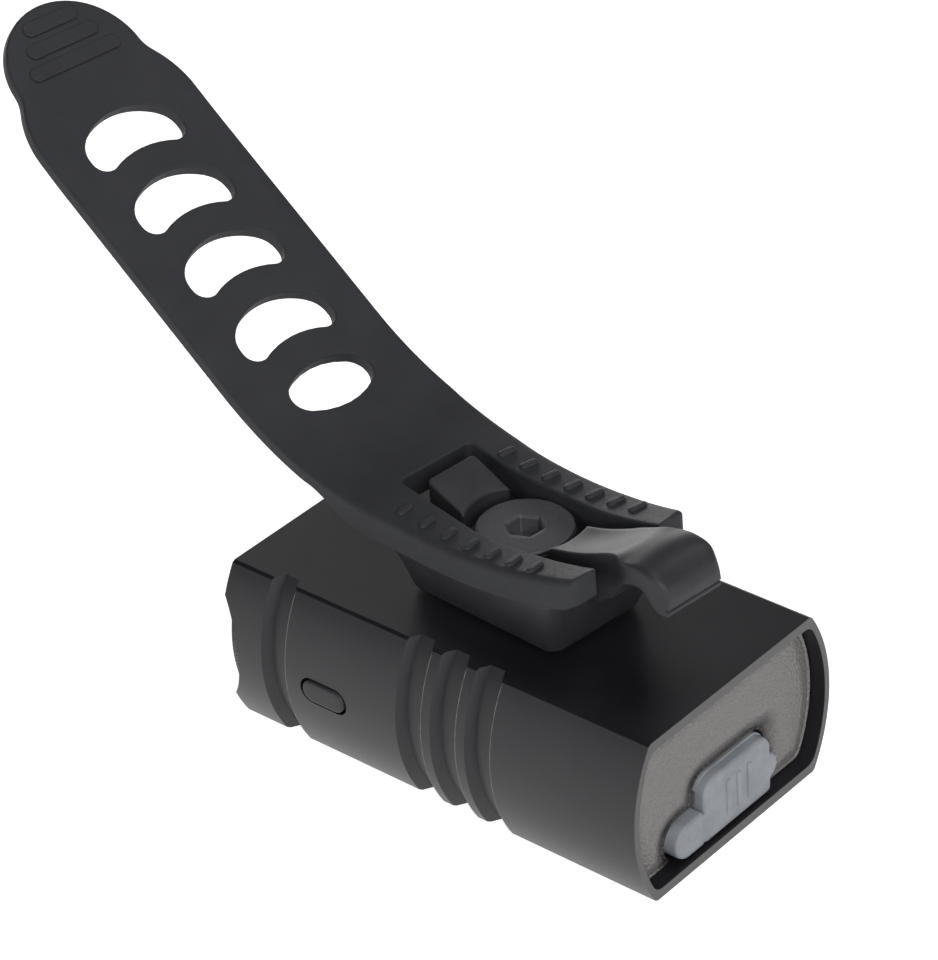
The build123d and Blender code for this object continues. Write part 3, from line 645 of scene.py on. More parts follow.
# Corner radii of a prong's end, outside and at the window, and of the window's front
PRONG_CORNER, INNER_CORNER, WINDOW_CORNER = 1.3, 0.35, 0.8
# The tip's neck runs from the shoulder to the notch
SHOULDER, NOTCH = TIP_ALONG - 19.1, TIP_ALONG - 10.9
# Half width of the strap at places along it
SIDE_WIDTHS = [(-12.0, 10.75), (-8.0, 11.05), (-1.3, 11.35), (4.0, 11.55), (9.0, 11.75)]
SIDE_WIDTHS += [(14.0, 12.2), (19.0, 12.5), (25.0, 12.72), (31.0, TAIL_HALF), (SHOULDER, TAIL_HALF)]
# The strap gets thin between these places, and a little thinner still over the last stretch
THINNING = (16.5, 25.0)
TIP_THINNING, TIP_STRETCH = 0.3, 25
# A prong's end is cut upright, and this much further on the strap's edge is square to its face
UPRIGHT_LENGTH = 4.0
# Sideways drift of the window and the block per millimetre, before and behind the screw
DRIFT_FRONT, DRIFT_REAR = -0.055, -0.02


def strap_station(along):
    """Point (y, z) on the strap's top line and its forward slope."""
    y = PRONG_END
    z = STRAP_LOW[1] + REAR_ARC * (1 - cos(END_ANGLE))
    slope = -END_ANGLE
    left = along - PRONG_ALONG
    for length, radius in STRETCHES:
        step = min(left, length)
        if radius:
            after = slope + step / radius
            y -= radius * (sin(after) - sin(slope))
            z += radius * (cos(slope) - cos(after))
            slope = after
        else:
            y -= step * cos(slope)
            z += step * sin(slope)
        left -= step
        if left <= 0:
            break
    return y, z, slope


def strap_place(along, across, depth):
    y, z, slope = strap_station(along)
    end = PRONG_ENDS[1 if across > 0 else -1]
    upright = 1 - ease(along, end, end + UPRIGHT_LENGTH)
    return (across, y - depth * sin(slope) * (1 - upright), z - depth * cos(slope))


def ease(value, low, high):
    share = min(1.0, max(0.0, (value - low) / (high - low)))
    return share * share * (3 - 2 * share)


def strap_thickness(along):
    thin = TIP_THINNING * ease(along, TIP_ALONG - TIP_STRETCH, TIP_ALONG)
    return FORK_THICK + (TAIL_THICK - FORK_THICK) * ease(along, *THINNING) - thin


def lean(along):
    """Sideways drift of the window and the block, which sit slightly askew to the strap."""
    return (DRIFT_FRONT if along > 0 else DRIFT_REAR) * along


def half_outline(end):
    """One side of the outline, from the end of its prong to the middle of the tip."""
    shoulder_radius, tip_radius = 13.9, 10.2
    side = [(end, PRONG_HALF)]
    # points too close to the prong's corner or to one another are left out
    for point in smooth_line(side + SIDE_WIDTHS, 4)[:-1]:
        if point[0] > max(end + 1.6, side[-1][0] + 0.3):
            side.append(point)
    turn = degrees(asin((NOTCH - SHOULDER) / shoulder_radius))
    side += arc_points((SHOULDER, TAIL_HALF - shoulder_radius), shoulder_radius, 90, 90 - turn, 10)
    notch_point = side[-1]
    start = degrees(atan2(notch_point[1], notch_point[0] - TIP_ALONG + tip_radius))
    side += arc_points((TIP_ALONG - tip_radius, 0), tip_radius, start, 0, 36)[1:]
    return relax(side, notch_point, 2.0)


def window_side(side):
    """One side of the window between the prongs, from the prong's end forward."""
    points = []
    for step in range(WINDOW_POINTS):
        along = PRONG_ENDS[side] + (WINDOW_FRONT - PRONG_ENDS[side]) * step / (WINDOW_POINTS - 1)
        bulge = WINDOW_BULGE * exp(-((along / BULGE_LENGTH) ** 2))
        points.append((along, lean(along) + side * (WINDOW_HALF + bulge)))
    return points


def strap_outline():
    """Outline of the strap as it lies flat: x is the length forward of the screw, y is across.

    It runs along the low side, round the tip, back along the high side and round the open window."""
    corners = [(a, -u) for a, u in half_outline(PRONG_ENDS[-1])[:-1]] + half_outline(PRONG_ENDS[1])[::-1]
    second = len(corners)
    corners += window_side(1) + window_side(-1)[::-1]
    radii = [0] * len(corners)
    radii[0] = radii[second - 1] = PRONG_CORNER
    radii[second] = radii[-1] = INNER_CORNER
    radii[second + WINDOW_POINTS - 1] = radii[second + WINDOW_POINTS] = WINDOW_CORNER
    return resample(rounded_path(corners, radii), 0.9)


def relax(points, around, reach):
    """Evenly smooth the part of an open path that lies within reach of a point."""
    dense = []
    for first, last in zip(points, points[1:]):
        step = 0.3 if dist(first, around) < 3 * reach else dist(first, last)
        dense += resample([first, last], step, closed=False)[:-1]
    dense.append(points[-1])
    for _ in range(24):
        moved = list(dense)
        for index in range(1, len(dense) - 1):
            if dist(dense[index], around) < reach:
                before, here, after = dense[index - 1 : index + 2]
                moved[index] = tuple((p + 2 * q + r) / 4 for p, q, r in zip(before, here, after))
        dense = moved
    return dense


def crescent_loop(top):
    """One bean-shaped hole, the top of its outer arc at the given place."""
    outer, inner, opening, drop, half = 9.9, 12.5, 6.25, 7.4, 7.55
    shoulder_round, horn_round, foot_round = 3.5, 1.9, 1.0
    turn = degrees(asin(half / outer))
    low = top - drop
    inner_centre = top - opening - inner
    inner_half = sqrt(inner**2 - (low - inner_centre) ** 2)
    inner_turn = degrees(asin(inner_half / inner))
    path = arc_points((top - outer, 0), outer, turn, -turn, 24)
    path = path[:1] + path[3:-3] + path[-1:]
    inner_path = arc_points((inner_centre, 0), inner, -inner_turn, inner_turn, 8)
    corners = path + [(low, -half)] + inner_path + [(low, half)]
    radii = [0] * len(corners)
    radii[0] = radii[len(path) - 1] = shoulder_round
    radii[len(path)] = radii[-1] = horn_round
    radii[len(path) + 1] = radii[-2] = foot_round
    return resample(rounded_path(corners, radii), 0.6)


def oval_loop(centre):
    """The pointed oval hole, the middle of it at the given place."""
    side_radius, width, end_radius = 10.2, 7.3, 2.6
    reach = side_radius - width / 2
    corner = sqrt(side_radius**2 - reach**2)
    turn = degrees(asin(corner / side_radius))
    high = arc_points((centre - reach, 0), side_radius, turn, -turn, 10)
    low = arc_points((centre + reach, 0), side_radius, 180 + turn, 180 - turn, 10)
    corners = high[2:-2] + [(centre, -corner)] + low[2:-2] + [(centre, corner)]
    radii = [0] * len(corners)
    radii[len(high) - 4] = radii[-1] = end_radius
    return resample(rounded_path(corners, radii, 10), 0.6)


def low_ridge(along, across, length, width, levels, turn=0.0, fall=0.0):
    """A low ridge with rounded ends on the strap's top face.

    Each level is a share of the plan's size and a height; fall lowers the side towards the tip."""
    sides = 32
    straight = max(0.0, (length - width) / 2)
    rings = []
    for scale, height in levels:
        ring = []
        for side in range(sides):
            angle = 2 * pi * (side + 0.5) / sides
            x = cos(angle) * width / 2 * scale
            y = sin(angle) * width / 2 * scale + copysign(straight, sin(angle))
            rise = height * (1 - fall * (0.5 + x / width)) if height > 0 else height
            a = along + x * cos(turn) - y * sin(turn)
            ring.append(strap_place(a, across + x * sin(turn) + y * cos(turn), -rise))
        rings.append(ring)
    return stack(rings)


# Levels of a rib and of a bar: share of the plan's size and height
ROUND_RIDGE = [(1.0, -0.15), (0.98, 0.12), (0.88, 0.3), (0.7, 0.4), (0.4, 0.45)]
FLAT_RIDGE = [(1.0, -0.15), (1.0, 0.2), (0.95, 0.33), (0.85, 0.38), (0.5, 0.38)]
# Ribs on the prongs
RIB_PLACES = [11.9, 7.9, 4.0, 0.1, -3.75, -7.5, -11.3]
RIB_ACROSS, RIB_SHIFT, RIB_LENGTH, RIB_WIDTH, RIB_TURN = 8.7, 0.2, 2.75, 1.25, 0.12
# Bars near the tip
BAR_HALVES = [7.4, 5.8, 4.4]
BAR_START, BAR_PITCH, BAR_WIDTH, BAR_FALL = 8.75, 3.0, 2.2, 0.75
# Holes, counted back from the tip
HOLES, FIRST_HOLE, HOLE_PITCH, OVAL_HOLE = 4, 17.5, 10.83, 64.45
# Rounding of the top rim at a hole, at the window, along the prongs and along the tail
HOLE_RIM, WINDOW_RIM, SIDE_RIM, TAIL_RIM = 0.3, 0.32, 1.0, 0.5
# A prong's end rim grows by a gain between two places across the strap, the window's rim reaches out
# to the third, and the side rim narrows between two places along the strap
END_GAIN, END_ACROSS, INNER_ACROSS, NARROWING = 0.5, (6.8, 8.8), 8.2, (14.0, 27.0)


def strap_rim(index, point):
    """Rounding of the strap's top rim at a point of its outline or of a hole."""
    along, across = point[0], abs(point[1])
    if index:
        return HOLE_RIM
    if along <= PRONG_ENDS[1 if point[1] > 0 else -1] + 0.5:
        return WINDOW_RIM + END_GAIN * ease(across, *END_ACROSS)
    if along < WINDOW_FRONT + 1 and across < INNER_ACROSS:
        return WINDOW_RIM
    return SIDE_RIM - (SIDE_RIM - TAIL_RIM) * ease(along, *NARROWING)


def build_strap():
    loops = [strap_outline()]
    loops += [crescent_loop(TIP_ALONG - FIRST_HOLE - index * HOLE_PITCH) for index in range(HOLES)]
    loops.append(oval_loop(TIP_ALONG - OVAL_HOLE))
    points, faces = rounded_plate(loops, 1.3, strap_rim, lambda *_: 0.25, 5)
    placed = []
    for along, across, depth, height in points:
        below = depth if depth is not None else strap_thickness(along) - height
        placed.append(strap_place(along, across, below))
    parts = [(placed, faces)]
    for place in RIB_PLACES:
        for side in (-1, 1):
            across = RIB_SHIFT + side * RIB_ACROSS
            parts.append(low_ridge(place, across, RIB_LENGTH, RIB_WIDTH, ROUND_RIDGE, turn=side * RIB_TURN))
    for index, half in enumerate(BAR_HALVES):
        place = TIP_ALONG - BAR_START + index * BAR_PITCH
        parts.append(low_ridge(place, 0, 2 * half, BAR_WIDTH, FLAT_RIDGE, fall=BAR_FALL))
    return finish_mesh("rubber_strap", parts, strap_rubber, ON_LAMP)


strap = build_strap()
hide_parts("strap_fork", "strap_tail")


def world_point(point):
    return tuple((ON_LAMP @ Vector(point)) * MM)


# The strap bends between its window and its first hole
BEND_START = world_point(strap_place(19.0, 0, 1.0))
BEND_END = world_point(strap_place(37.0, 0, 1.0))
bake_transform(strap)


# Moulded shoe

SEAT = [strap_place(along, 0, FORK_THICK) for along in range(-20, 25)]
SHOE_FRONT, SHOE_REAR = 12.35, 12.1
SHOE_LOW = 0.3
SHOE_HIGH = 12.5
RING_RADIUS = 6.32
RING_TOP = 9.46
SHANK_RADIUS = 3.06
WASHER_ROOM = (7.11, 0.85)
# The shoe ends this far under the strap's lower face
SEAT_GAP = 0.06
# Half width of the foot in front, what it narrows by to the rear, and its corner radius
FOOT_HALF, FOOT_TAPER, FOOT_CORNER = 8.8, 1.2, 2.0
# How far the sides, the front and the rear lean out per millimetre of height
FLARE_SIDE, FLARE_FRONT, FLARE_REAR = 0.3, 0.21, 0.37
# Rounding of the wall's rims as insets, and how far each lies from the rim
SOFT_EDGE = [(0.0, 0.3), (0.09, 0.09)]


def seat_height(y):
    """Height of the face under the strap at a place along the shoe."""
    for (_, y0, z0), (_, y1, z1) in zip(SEAT, SEAT[1:]):
        if y1 <= y <= y0:
            return z0 + (z1 - z0) * (y - y0) / (y1 - y0)
    return SEAT[0][2]


def shoe_plan(level):
    """Outline of the shoe's flared wall at one height, always with the same number of points."""

    def half(y):
        return FOOT_HALF - (y + SHOE_FRONT) * FOOT_TAPER / (SHOE_FRONT + SHOE_REAR) + FLARE_SIDE * level

    front, rear = -SHOE_FRONT - FLARE_FRONT * level, SHOE_REAR + FLARE_REAR * level
    corners = [(-half(front), front), (half(front), front), (half(rear), rear), (-half(rear), rear)]
    path = rounded_path(corners, [FOOT_CORNER] * 4)
    full = []
    for index, point in enumerate(path):
        # each corner has seven points, and the wall after the last is cut in ten
        parts = 10 if index % 7 == 6 else 1
        after = path[(index + 1) % len(path)]
        full += [between(point, after, part / parts) for part in range(parts)]
    return full


def shoe_body():
    low, high = shoe_plan(0.0), shoe_plan(SHOE_HIGH)
    normals = inward(low)
    count = len(low)

    def at(index, level, inset=0.0):
        x, y = between(low[index], high[index], level / SHOE_HIGH)
        return (x + normals[index].x * inset, y + normals[index].y * inset, level)

    tops = []
    for index in range(count):
        level = 7.0
        for _ in range(5):
            level = seat_height(at(index, level)[1])
        tops.append(level - SEAT_GAP)
    rings = [[at(i, SHOE_LOW + up, inset) for i in range(count)] for up, inset in SOFT_EDGE]
    for share in (0.045, 0.2, 0.4, 0.6, 0.8, 0.955):
        rings.append([at(i, SHOE_LOW + (tops[i] - SHOE_LOW) * share) for i in range(count)])
    rings += [[at(i, tops[i] - down, inset) for i in range(count)] for down, inset in SOFT_EDGE[::-1]]
    points, faces = stack(rings, closed=False)
    outer_high = len(points) - count
    # radius and height in the screw's hole: the raised ring, the countersink, the bore and the washer's room
    hole = [(RING_RADIUS, None), (RING_RADIUS, 9.3), (6.28, 9.42), (6.2, RING_TOP), (6.14, 9.42)]
    hole += [(SHANK_RADIUS, 6.36), (SHANK_RADIUS, WASHER_ROOM[1]), (WASHER_ROOM[0], WASHER_ROOM[1])]
    hole += [(WASHER_ROOM[0], SHOE_LOW)]
    sides = 96
    starts = []
    for radius, level in hole:
        starts.append(len(points))
        for x, y, _ in circle(radius, 0.0, sides):
            points.append((x, y, level if level is not None else seat_height(y) - SEAT_GAP))
    add_bands(faces, starts, sides)
    rims_high = [(outer_high, count), (starts[0], sides)]
    rims_low = [(0, count), (starts[-1], sides)]
    add_cap(points, faces, rims_high, 1.2, lambda x, y: (x, y, seat_height(y) - SEAT_GAP), False)
    add_cap(points, faces, rims_low, 2.5, lambda x, y: (x, y, SHOE_LOW), True)
    return points, faces


def shoe_block():
    """Raised block in front of the screw, its top sloping down to the rear."""
    front, half, room = 14.0, 4.0, 8.15
    rear_top, front_top, bottom = 8.1, 12.3, 5.5
    turn = degrees(asin(half / room))
    round_screw = arc_points((0, 0), room, 270 + turn, 270 - turn, 10)
    corners = [(-half, -front), (half, -front)] + round_screw
    loop = rounded_path(corners, [0.6, 0.6] + [0] * len(round_screw))
    loop = [(x + lean(-y), y) for x, y in resample(loop, 0.8)]

    def lift(x, y, depth, height):
        top = rear_top - (front_top - rear_top) * y / front
        return (x, y, top - depth if depth is not None else bottom + height)

    return plate([loop], 1.0, 0.28, 0.1, lift)


# Each place on the hook's top line: y, z at the middle, y, z at the sides and the rim's radius
HOOK_TOP = [
    (7.7, 10.6, 7.7, 11.1, 0.25), (7.85, 11.25, 7.8, 11.75, 0.25), (8.3, 11.5, 8.2, 11.98, 0.25),
    (11.0, 12.3, 11.0, 12.85, 0.25), (14.3, 13.6, 14.3, 14.2, 0.25), (17.3, 15.2, 17.3, 15.65, 0.25),
    (20.0, 16.75, 20.0, 16.75, 0.3), (22.2, 17.4, 22.0, 17.0, 0.45), (24.4, 17.63, 24.3, 17.45, 0.7),
    (26.5, 17.2, 26.6, 17.25, 0.8), (28.1, 16.0, 28.3, 16.1, 0.8), (28.85, 14.5, 28.88, 14.7, 0.6),
    (28.97, 13.4, 28.93, 13.5, 0.3),
]
# The lip's fine step, then the throat under the bill: y, z
HOOK_LIP = [(28.93, 13.0), (28.5, 12.92), (28.5, 12.72), (28.88, 12.62), (28.8, 12.05)]
HOOK_UNDER = [(28.4, 11.95), (27.75, 12.3), (27.1, 12.85), (26.4, 13.5), (25.6, 14.35), (24.6, 14.65)]
HOOK_UNDER += [(23.6, 14.55), (22.6, 14.2), (21.7, 13.65), (20.8, 12.9), (20.0, 12.1), (19.4, 11.1)]
HOOK_UNDER += [(18.9, 10.0), (18.0, 9.35), (13.0, 5.7), (8.2, 5.6), (7.7, 6.0)]
UNDER_RIM = 0.2
# Half width of the tongue's root, what the tongue and the bill gain and the lip loses, and where
TONGUE_HALF, TONGUE_GAIN, BILL_GAIN, LIP_LOSS = 3.3, 0.5, 1.3, 0.5
TONGUE, BILL, LIP = (8.0, 19.0), (18.6, 22.8), (27.0, 29.0)


def hook_half(y):
    wide = TONGUE_HALF + TONGUE_GAIN * ease(y, *TONGUE) + BILL_GAIN * ease(y, *BILL)
    return wide - LIP_LOSS * ease(y, *LIP)


def shoe_hook():
    """The hook as a side view with thickness: dished tongue, crowned bill, thin lip."""
    under = HOOK_LIP + smooth_line(HOOK_UNDER, 3)
    places = smooth_line(HOOK_TOP, 6) + [(y, z, y, z, UNDER_RIM) for y, z in under]
    if signed_area([place[2:4] for place in places]) < 0:
        places.reverse()
    side_line = [place[2:4] for place in places]
    across_steps, rim_steps, flare = 14, 4, 2.2
    normals = inward(side_line)
    rings = []

    def rounding(side, steps):
        for step in steps:
            angle = step / rim_steps * pi / 2
            ring = []
            for (_, _, y, z, rim), normal in zip(places, normals):
                inset = rim * (1 - cos(angle))
                half = hook_half(y) - rim + rim * sin(angle)
                ring.append((y + normal.x * inset, z + normal.y * inset, side * half))
            rings.append(ring)

    rounding(-1, range(rim_steps, 0, -1))
    for step in range(across_steps + 1):
        share = 2 * step / across_steps - 1
        pull = abs(share) ** flare
        ring = []
        for place in places:
            y, z = between(place[:2], place[2:4], pull)
            ring.append((y, z, share * (hook_half(place[2]) - place[4])))
        rings.append(ring)
    rounding(1, range(1, rim_steps + 1))
    points, faces = stack(rings, closed=False)
    count = len(side_line)
    add_cap(points, faces, [(0, count)], 0.9, lambda y, z: (y, z, -hook_half(y)), True)
    add_cap(points, faces, [((len(rings) - 1) * count, count)], 0.9, lambda y, z: (y, z, hook_half(y)), False)
    return [(x, y, z) for y, z, x in points], faces


shoe_parts = [shoe_body(), shoe_block(), shoe_hook()]
swap_in(finish_mesh("moulded_shoe", shoe_parts, shoe_plastic, ON_LAMP), "mount_base", "mount")


# Screw

HEAD_TOP, HEAD_RADIUS, HEAD_EDGE = 10.06, 6.2, 0.28
# Radius and height of the shank and of the countersunk head
SHANK = [(2.6, -5.0), (3.0, -4.6), (3.0, 6.36), (6.1, 9.5)]
SHANK += [(HEAD_RADIUS, 9.6), (HEAD_RADIUS, HEAD_TOP - HEAD_EDGE)]
# Width across flats and depth of the socket's mouth, chamfer, wall and foot
SOCKET = [(4.6, 0.0), (4.5, 0.03), (4.05, 0.28), (4.0, 0.36), (4.0, 2.35), (3.8, 2.4)]


def hexagon(flats, level, sides=96):
    ring = []
    for k in range(sides):
        angle = 2 * pi * k / sides
        radius = flats / 2 / cos(angle % (pi / 3) - pi / 6)
        ring.append((radius * cos(angle), radius * sin(angle), level))
    return ring


def build_screw():
    rings = [circle(*place) for place in SHANK]
    for step in range(1, 5):
        angle = step / 4 * pi / 2
        inset, drop = HEAD_EDGE * (1 - cos(angle)), HEAD_EDGE * (1 - sin(angle))
        rings.append(circle(HEAD_RADIUS - inset, HEAD_TOP - drop))
    rings += [circle(radius, HEAD_TOP) for radius in (5.6, 4.2, 3.0)]
    rings += [hexagon(flats, HEAD_TOP - depth) for flats, depth in SOCKET]
    rings.append(circle(0.3, HEAD_TOP - 2.75))
    return finish_mesh("socket_screw", [stack(rings)], steel, ON_LAMP)


swap_in(build_screw(), "mount_screw", "root")


# Button, port cover and rear cap

BUTTON_Y, BUTTON_Z = FRONT_Y + 17.175, TOP_Z / 2 - 0.235
BUTTON_TOP, BUTTON_HEIGHT = 19.74, 2.0
BUTTON_LENGTH, BUTTON_WIDTH = 6.9, 3.2


def build_button():
    half_length, radius = BUTTON_LENGTH / 2, BUTTON_WIDTH / 2
    high = arc_points((half_length - radius, 0), radius, -90, 90, 16)
    low = arc_points((radius - half_length, 0), radius, 90, 270, 16)

    def lift(y, z, depth, height):
        x = BUTTON_TOP - depth if depth is not None else BUTTON_TOP - BUTTON_HEIGHT + height
        return (x, BUTTON_Y + y, BUTTON_Z + z)

    loop = resample(high + low, 0.5)
    return finish_mesh("push_button", [plate([loop], 0.9, 0.42, 0.1, lift)], button_rubber)


swap_in(build_button(), "button_cap", "button")

CAP_FACE = CASE_LENGTH / 2 - 2.6
COVER_FACE = CAP_FACE + 2.0
COVER_BACK = CAP_FACE - 1.2
HINGE_X, COVER_FAR_X, COVER_LOW_Z, COVER_TOP_Z = 5.35, -8.1, 1.65, 10.5
LOBE_Z, LOBE_RADIUS, LOBE_X = 5.35, 1.85, -7.65
TETHER_END_X, TETHER_TOP_Z = 10.95, 6.55
TETHER_MIDDLE, TETHER_HALF = (COVER_LOW_Z + TETHER_TOP_Z) / 2, (TETHER_TOP_Z - COVER_LOW_Z) / 2
# The cover and the tether both end this far from the hinge's line
HINGE_GAP = 0.1
STEM_X, STEM_RADIUS, STEM_LENGTH = HINGE_X + 2.8, 0.99, 3.0
# Rounding of the rubber's outer and inner rims
OUTER_RIM, INNER_RIM = 0.55, 0.1
# Raised ridges on the cover
RIDGE_MIDDLE, RIDGE_PITCH, RIDGE_HALF, RIDGE_LOW, RIDGE_HIGH = -1.45, 2.1, 0.4, 3.45, 8.7


def cover_path(grow):
    """Outline of the cover with its lobe, grown by a gap and cut off at the hinge."""
    reach = LOBE_RADIUS + grow
    left, right = COVER_FAR_X - grow, HINGE_X - HINGE_GAP
    turn = degrees(acos((left - LOBE_X) / reach))
    lobe = arc_points((LOBE_X, LOBE_Z), reach, turn, 360 - turn, 9)
    corners = [(right, COVER_TOP_Z + grow), (left, COVER_TOP_Z + grow)] + lobe
    corners += [(left, COVER_LOW_Z - grow), (right, COVER_LOW_Z)]
    radii = [2.2 + grow, 2.2 + grow, 0.35] + [0] * (len(lobe) - 2) + [0.35, 0.9, 0.25]
    return resample(rounded_path(corners, radii), 0.5)


def build_cover():
    plug = rounded_box((-5.2, 4.5), (2.3, 7.2), 0.9)
    parts = [
        plate([cover_path(0.0)], 0.9, OUTER_RIM, INNER_RIM, facing(COVER_FACE, COVER_BACK)),
        plate([cover_path(0.22)], 1.2, 0.12, 0.05, facing(CAP_FACE + 0.55, COVER_BACK + 0.1)),
        plate([plug], 1.0, 0.1, 0.2, facing(COVER_BACK + 0.2, COVER_BACK - 1.5)),
    ]
    for step in (-1, 0, 1):
        middle = RIDGE_MIDDLE + step * RIDGE_PITCH
        ridge = rounded_box((middle - RIDGE_HALF, RIDGE_LOW), (middle + RIDGE_HALF, RIDGE_HIGH), 0.39)
        lift = facing(COVER_FACE + 0.3, COVER_FACE - 0.2)
        parts.append(plate([resample(ridge, 0.6)], 0.6, 0.28, 0.02, lift))
    return finish_mesh("charging_cover", parts, silicone)


def build_tether():
    end = arc_points((TETHER_END_X - TETHER_HALF, TETHER_MIDDLE), TETHER_HALF, -90, 90, 16)
    corners = end + [(HINGE_X + HINGE_GAP, TETHER_TOP_Z), (HINGE_X + HINGE_GAP, COVER_LOW_Z)]
    loop = resample(rounded_path(corners, [0] * len(end) + [0.3, 0.25]), 0.5)
    parts = [plate([loop], 0.9, OUTER_RIM, INNER_RIM, facing(COVER_FACE, COVER_BACK))]
    stem_end = CAP_FACE - STEM_LENGTH
    stem = [(STEM_RADIUS, COVER_BACK + 0.2), (STEM_RADIUS, stem_end), (1.6, stem_end), (1.45, stem_end - 0.5)]
    points, faces = stack([circle(radius, level, 32) for radius, level in stem])
    parts.append(([(STEM_X + x, y, TETHER_MIDDLE + z) for x, z, y in points], faces))
    return finish_mesh("cover_tether_rubber", parts, silicone)


def build_hinge():
    """Thin rubber web at the outer face that joins the tether to the cover."""
    half, inset, under, low_face = 0.75, 0.35, 0.12, 0.5
    box = rounded_box((HINGE_X - half, COVER_LOW_Z + inset), (HINGE_X + half, TETHER_TOP_Z - inset), 0.15)
    lift = facing(COVER_FACE - under, COVER_FACE - low_face)
    return finish_mesh("hinge_web", [plate([resample(box, 0.25)], 0.25, 0.1, 0.1, lift)], silicone)


swap_in(build_cover(), "port_cover", "port_cover")
swap_in(build_tether(), "cover_tether", "root")
web = build_hinge()


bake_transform(web)

CAP_BACK = CAP_FACE - 3.0
CAP_LOW, CAP_HALF, CAP_RADIUS, CAP_TURN, CAP_CORNER = 1.4, 15.745, 20.52, 24, 2.0
# The lamp's bulged sides are arcs round points this far past the middle
SIDE_CENTRE, SIDE_PARTS = 1.983, 10
POCKET_GAP = 0.5
# Inset from the plate's edge and height above it: a fine border line, then the pillowed middle
CAP_RIM = [(0.0, -0.3), (0.06, 0.3), (0.16, 0.45), (0.3, 0.45), (0.38, 0.22), (0.5, 0.22), (0.6, 0.34)]
PILLOW_FOOT, PILLOW_HEIGHT, PILLOW_REACH = 0.34, 1.0, 2.4


def bulged_outline(half_width, half_height, radius, turn, rounding, middle=0.0):
    """Corners of the lamp's section with their rounding: flat top and bottom, bulged sides."""
    side = arc_points((-SIDE_CENTRE, 0), radius, -turn, turn, SIDE_PARTS)
    right = [(half_width, -half_height)] + side + [(half_width, half_height)]
    corners = [(x, z + middle) for x, z in right + [(-x, z) for x, z in reversed(right)]]
    radii = [rounding] + [0] * (SIDE_PARTS + 1) + [rounding]
    return corners, radii + radii


def cap_outline():
    return bulged_outline(CAP_HALF, TOP_Z / 2 - CAP_LOW, CAP_RADIUS, CAP_TURN, CAP_CORNER, TOP_Z / 2)


def cap_face_path():
    """Outline of the grained face, which runs round the cover's pocket as well."""
    corners, radii = cap_outline()
    reach = LOBE_RADIUS + POCKET_GAP
    left, right = COVER_FAR_X - POCKET_GAP, HINGE_X + POCKET_GAP
    turn = degrees(acos((left - LOBE_X) / reach))
    lobe = arc_points((LOBE_X, LOBE_Z), reach, 360 - turn, turn, 5)
    top = COVER_TOP_Z + POCKET_GAP
    corners += [(left, CAP_LOW)] + lobe + [(left, top), (right, top), (right, TETHER_TOP_Z + POCKET_GAP)]
    radii += [1.0, 0.9] + [0] * (len(lobe) - 2) + [0.9, 2.7, 2.7, 0.9]
    radius = TETHER_HALF + POCKET_GAP
    centre = (TETHER_END_X + POCKET_GAP - radius, TETHER_MIDDLE)
    end = arc_points(centre, radius, 90, -35, 11)
    foot = (centre[0] + radius * cos(asin((TETHER_MIDDLE - CAP_LOW) / radius)), CAP_LOW)
    corners += end + [foot]
    radii += [0] * len(end) + [0.5]
    return turned(resample(rounded_path(corners, radii), 0.45), True)


def build_rear_cap():
    path = cap_face_path()
    normals = inward(path)
    rings = [[(x, CAP_BACK + 1.2, z) for x, z in path]]
    for inset, height in CAP_RIM:
        ring = []
        for (x, z), normal in zip(path, normals):
            ring.append((x + normal.x * inset, CAP_FACE + height, z + normal.y * inset))
        rings.append(ring)
    flat = [(x, z, y) for ring in rings for x, y, z in ring]
    faces = []
    count = len(path)
    add_bands(faces, range(0, len(flat), count), count)

    def pillow(x, z):
        away = min(dist((x, z), point) for point in path)
        rise = (PILLOW_HEIGHT - PILLOW_FOOT) * ease(away, 0.5, 0.6 + PILLOW_REACH)
        return (x, z, CAP_FACE + PILLOW_FOOT + rise)

    add_cap(flat, faces, [(len(flat) - count, count)], 0.42, pillow, False)
    add_cap(flat, faces, [(0, count)], 3.0, lambda x, z: (x, z, CAP_BACK + 1.2), True)
    face = ([(x, y, z) for x, z, y in flat], faces)
    corners, radii = cap_outline()
    outline = resample(rounded_path(corners, radii), 0.8)
    port = rounded_box((-5.75, 4.3), (2.85, 8.1), 1.2)
    hole = arc_points((STEM_X, TETHER_MIDDLE), STEM_RADIUS + 0.07, 0, 345, 23)
    floor = plate([outline, resample(port, 0.6), hole], 1.6, 0.08, 0.08, facing(CAP_BACK + 1.5, CAP_BACK))
    return finish_mesh("grained_plate", [face, floor], grained)


swap_in(build_rear_cap(), "rear_cap", "root")


# Reflector and its lights

# Radius of the case's bulged sides, and how far inside them and the flats the reflector lies
SHELL_RADIUS, SIDE_INSET, FLAT_INSET = 21.473, 2.35, 2.45
REFLECTOR_FRONT = FRONT_Y + 3.5
REFLECTOR_BACK = REFLECTOR_FRONT + 6.2
BOWL_X, BOWL_MOUTH, BOWL_THROAT, BOWL_DEPTH = 8.35, 7.8, 2.65, 6.1
LED_HALF, LED_DEPTH, DOME_FOOT, DOME_RADIUS, DOME_HEIGHT = 1.7, 0.7, 0.66, 1.35, 0.62


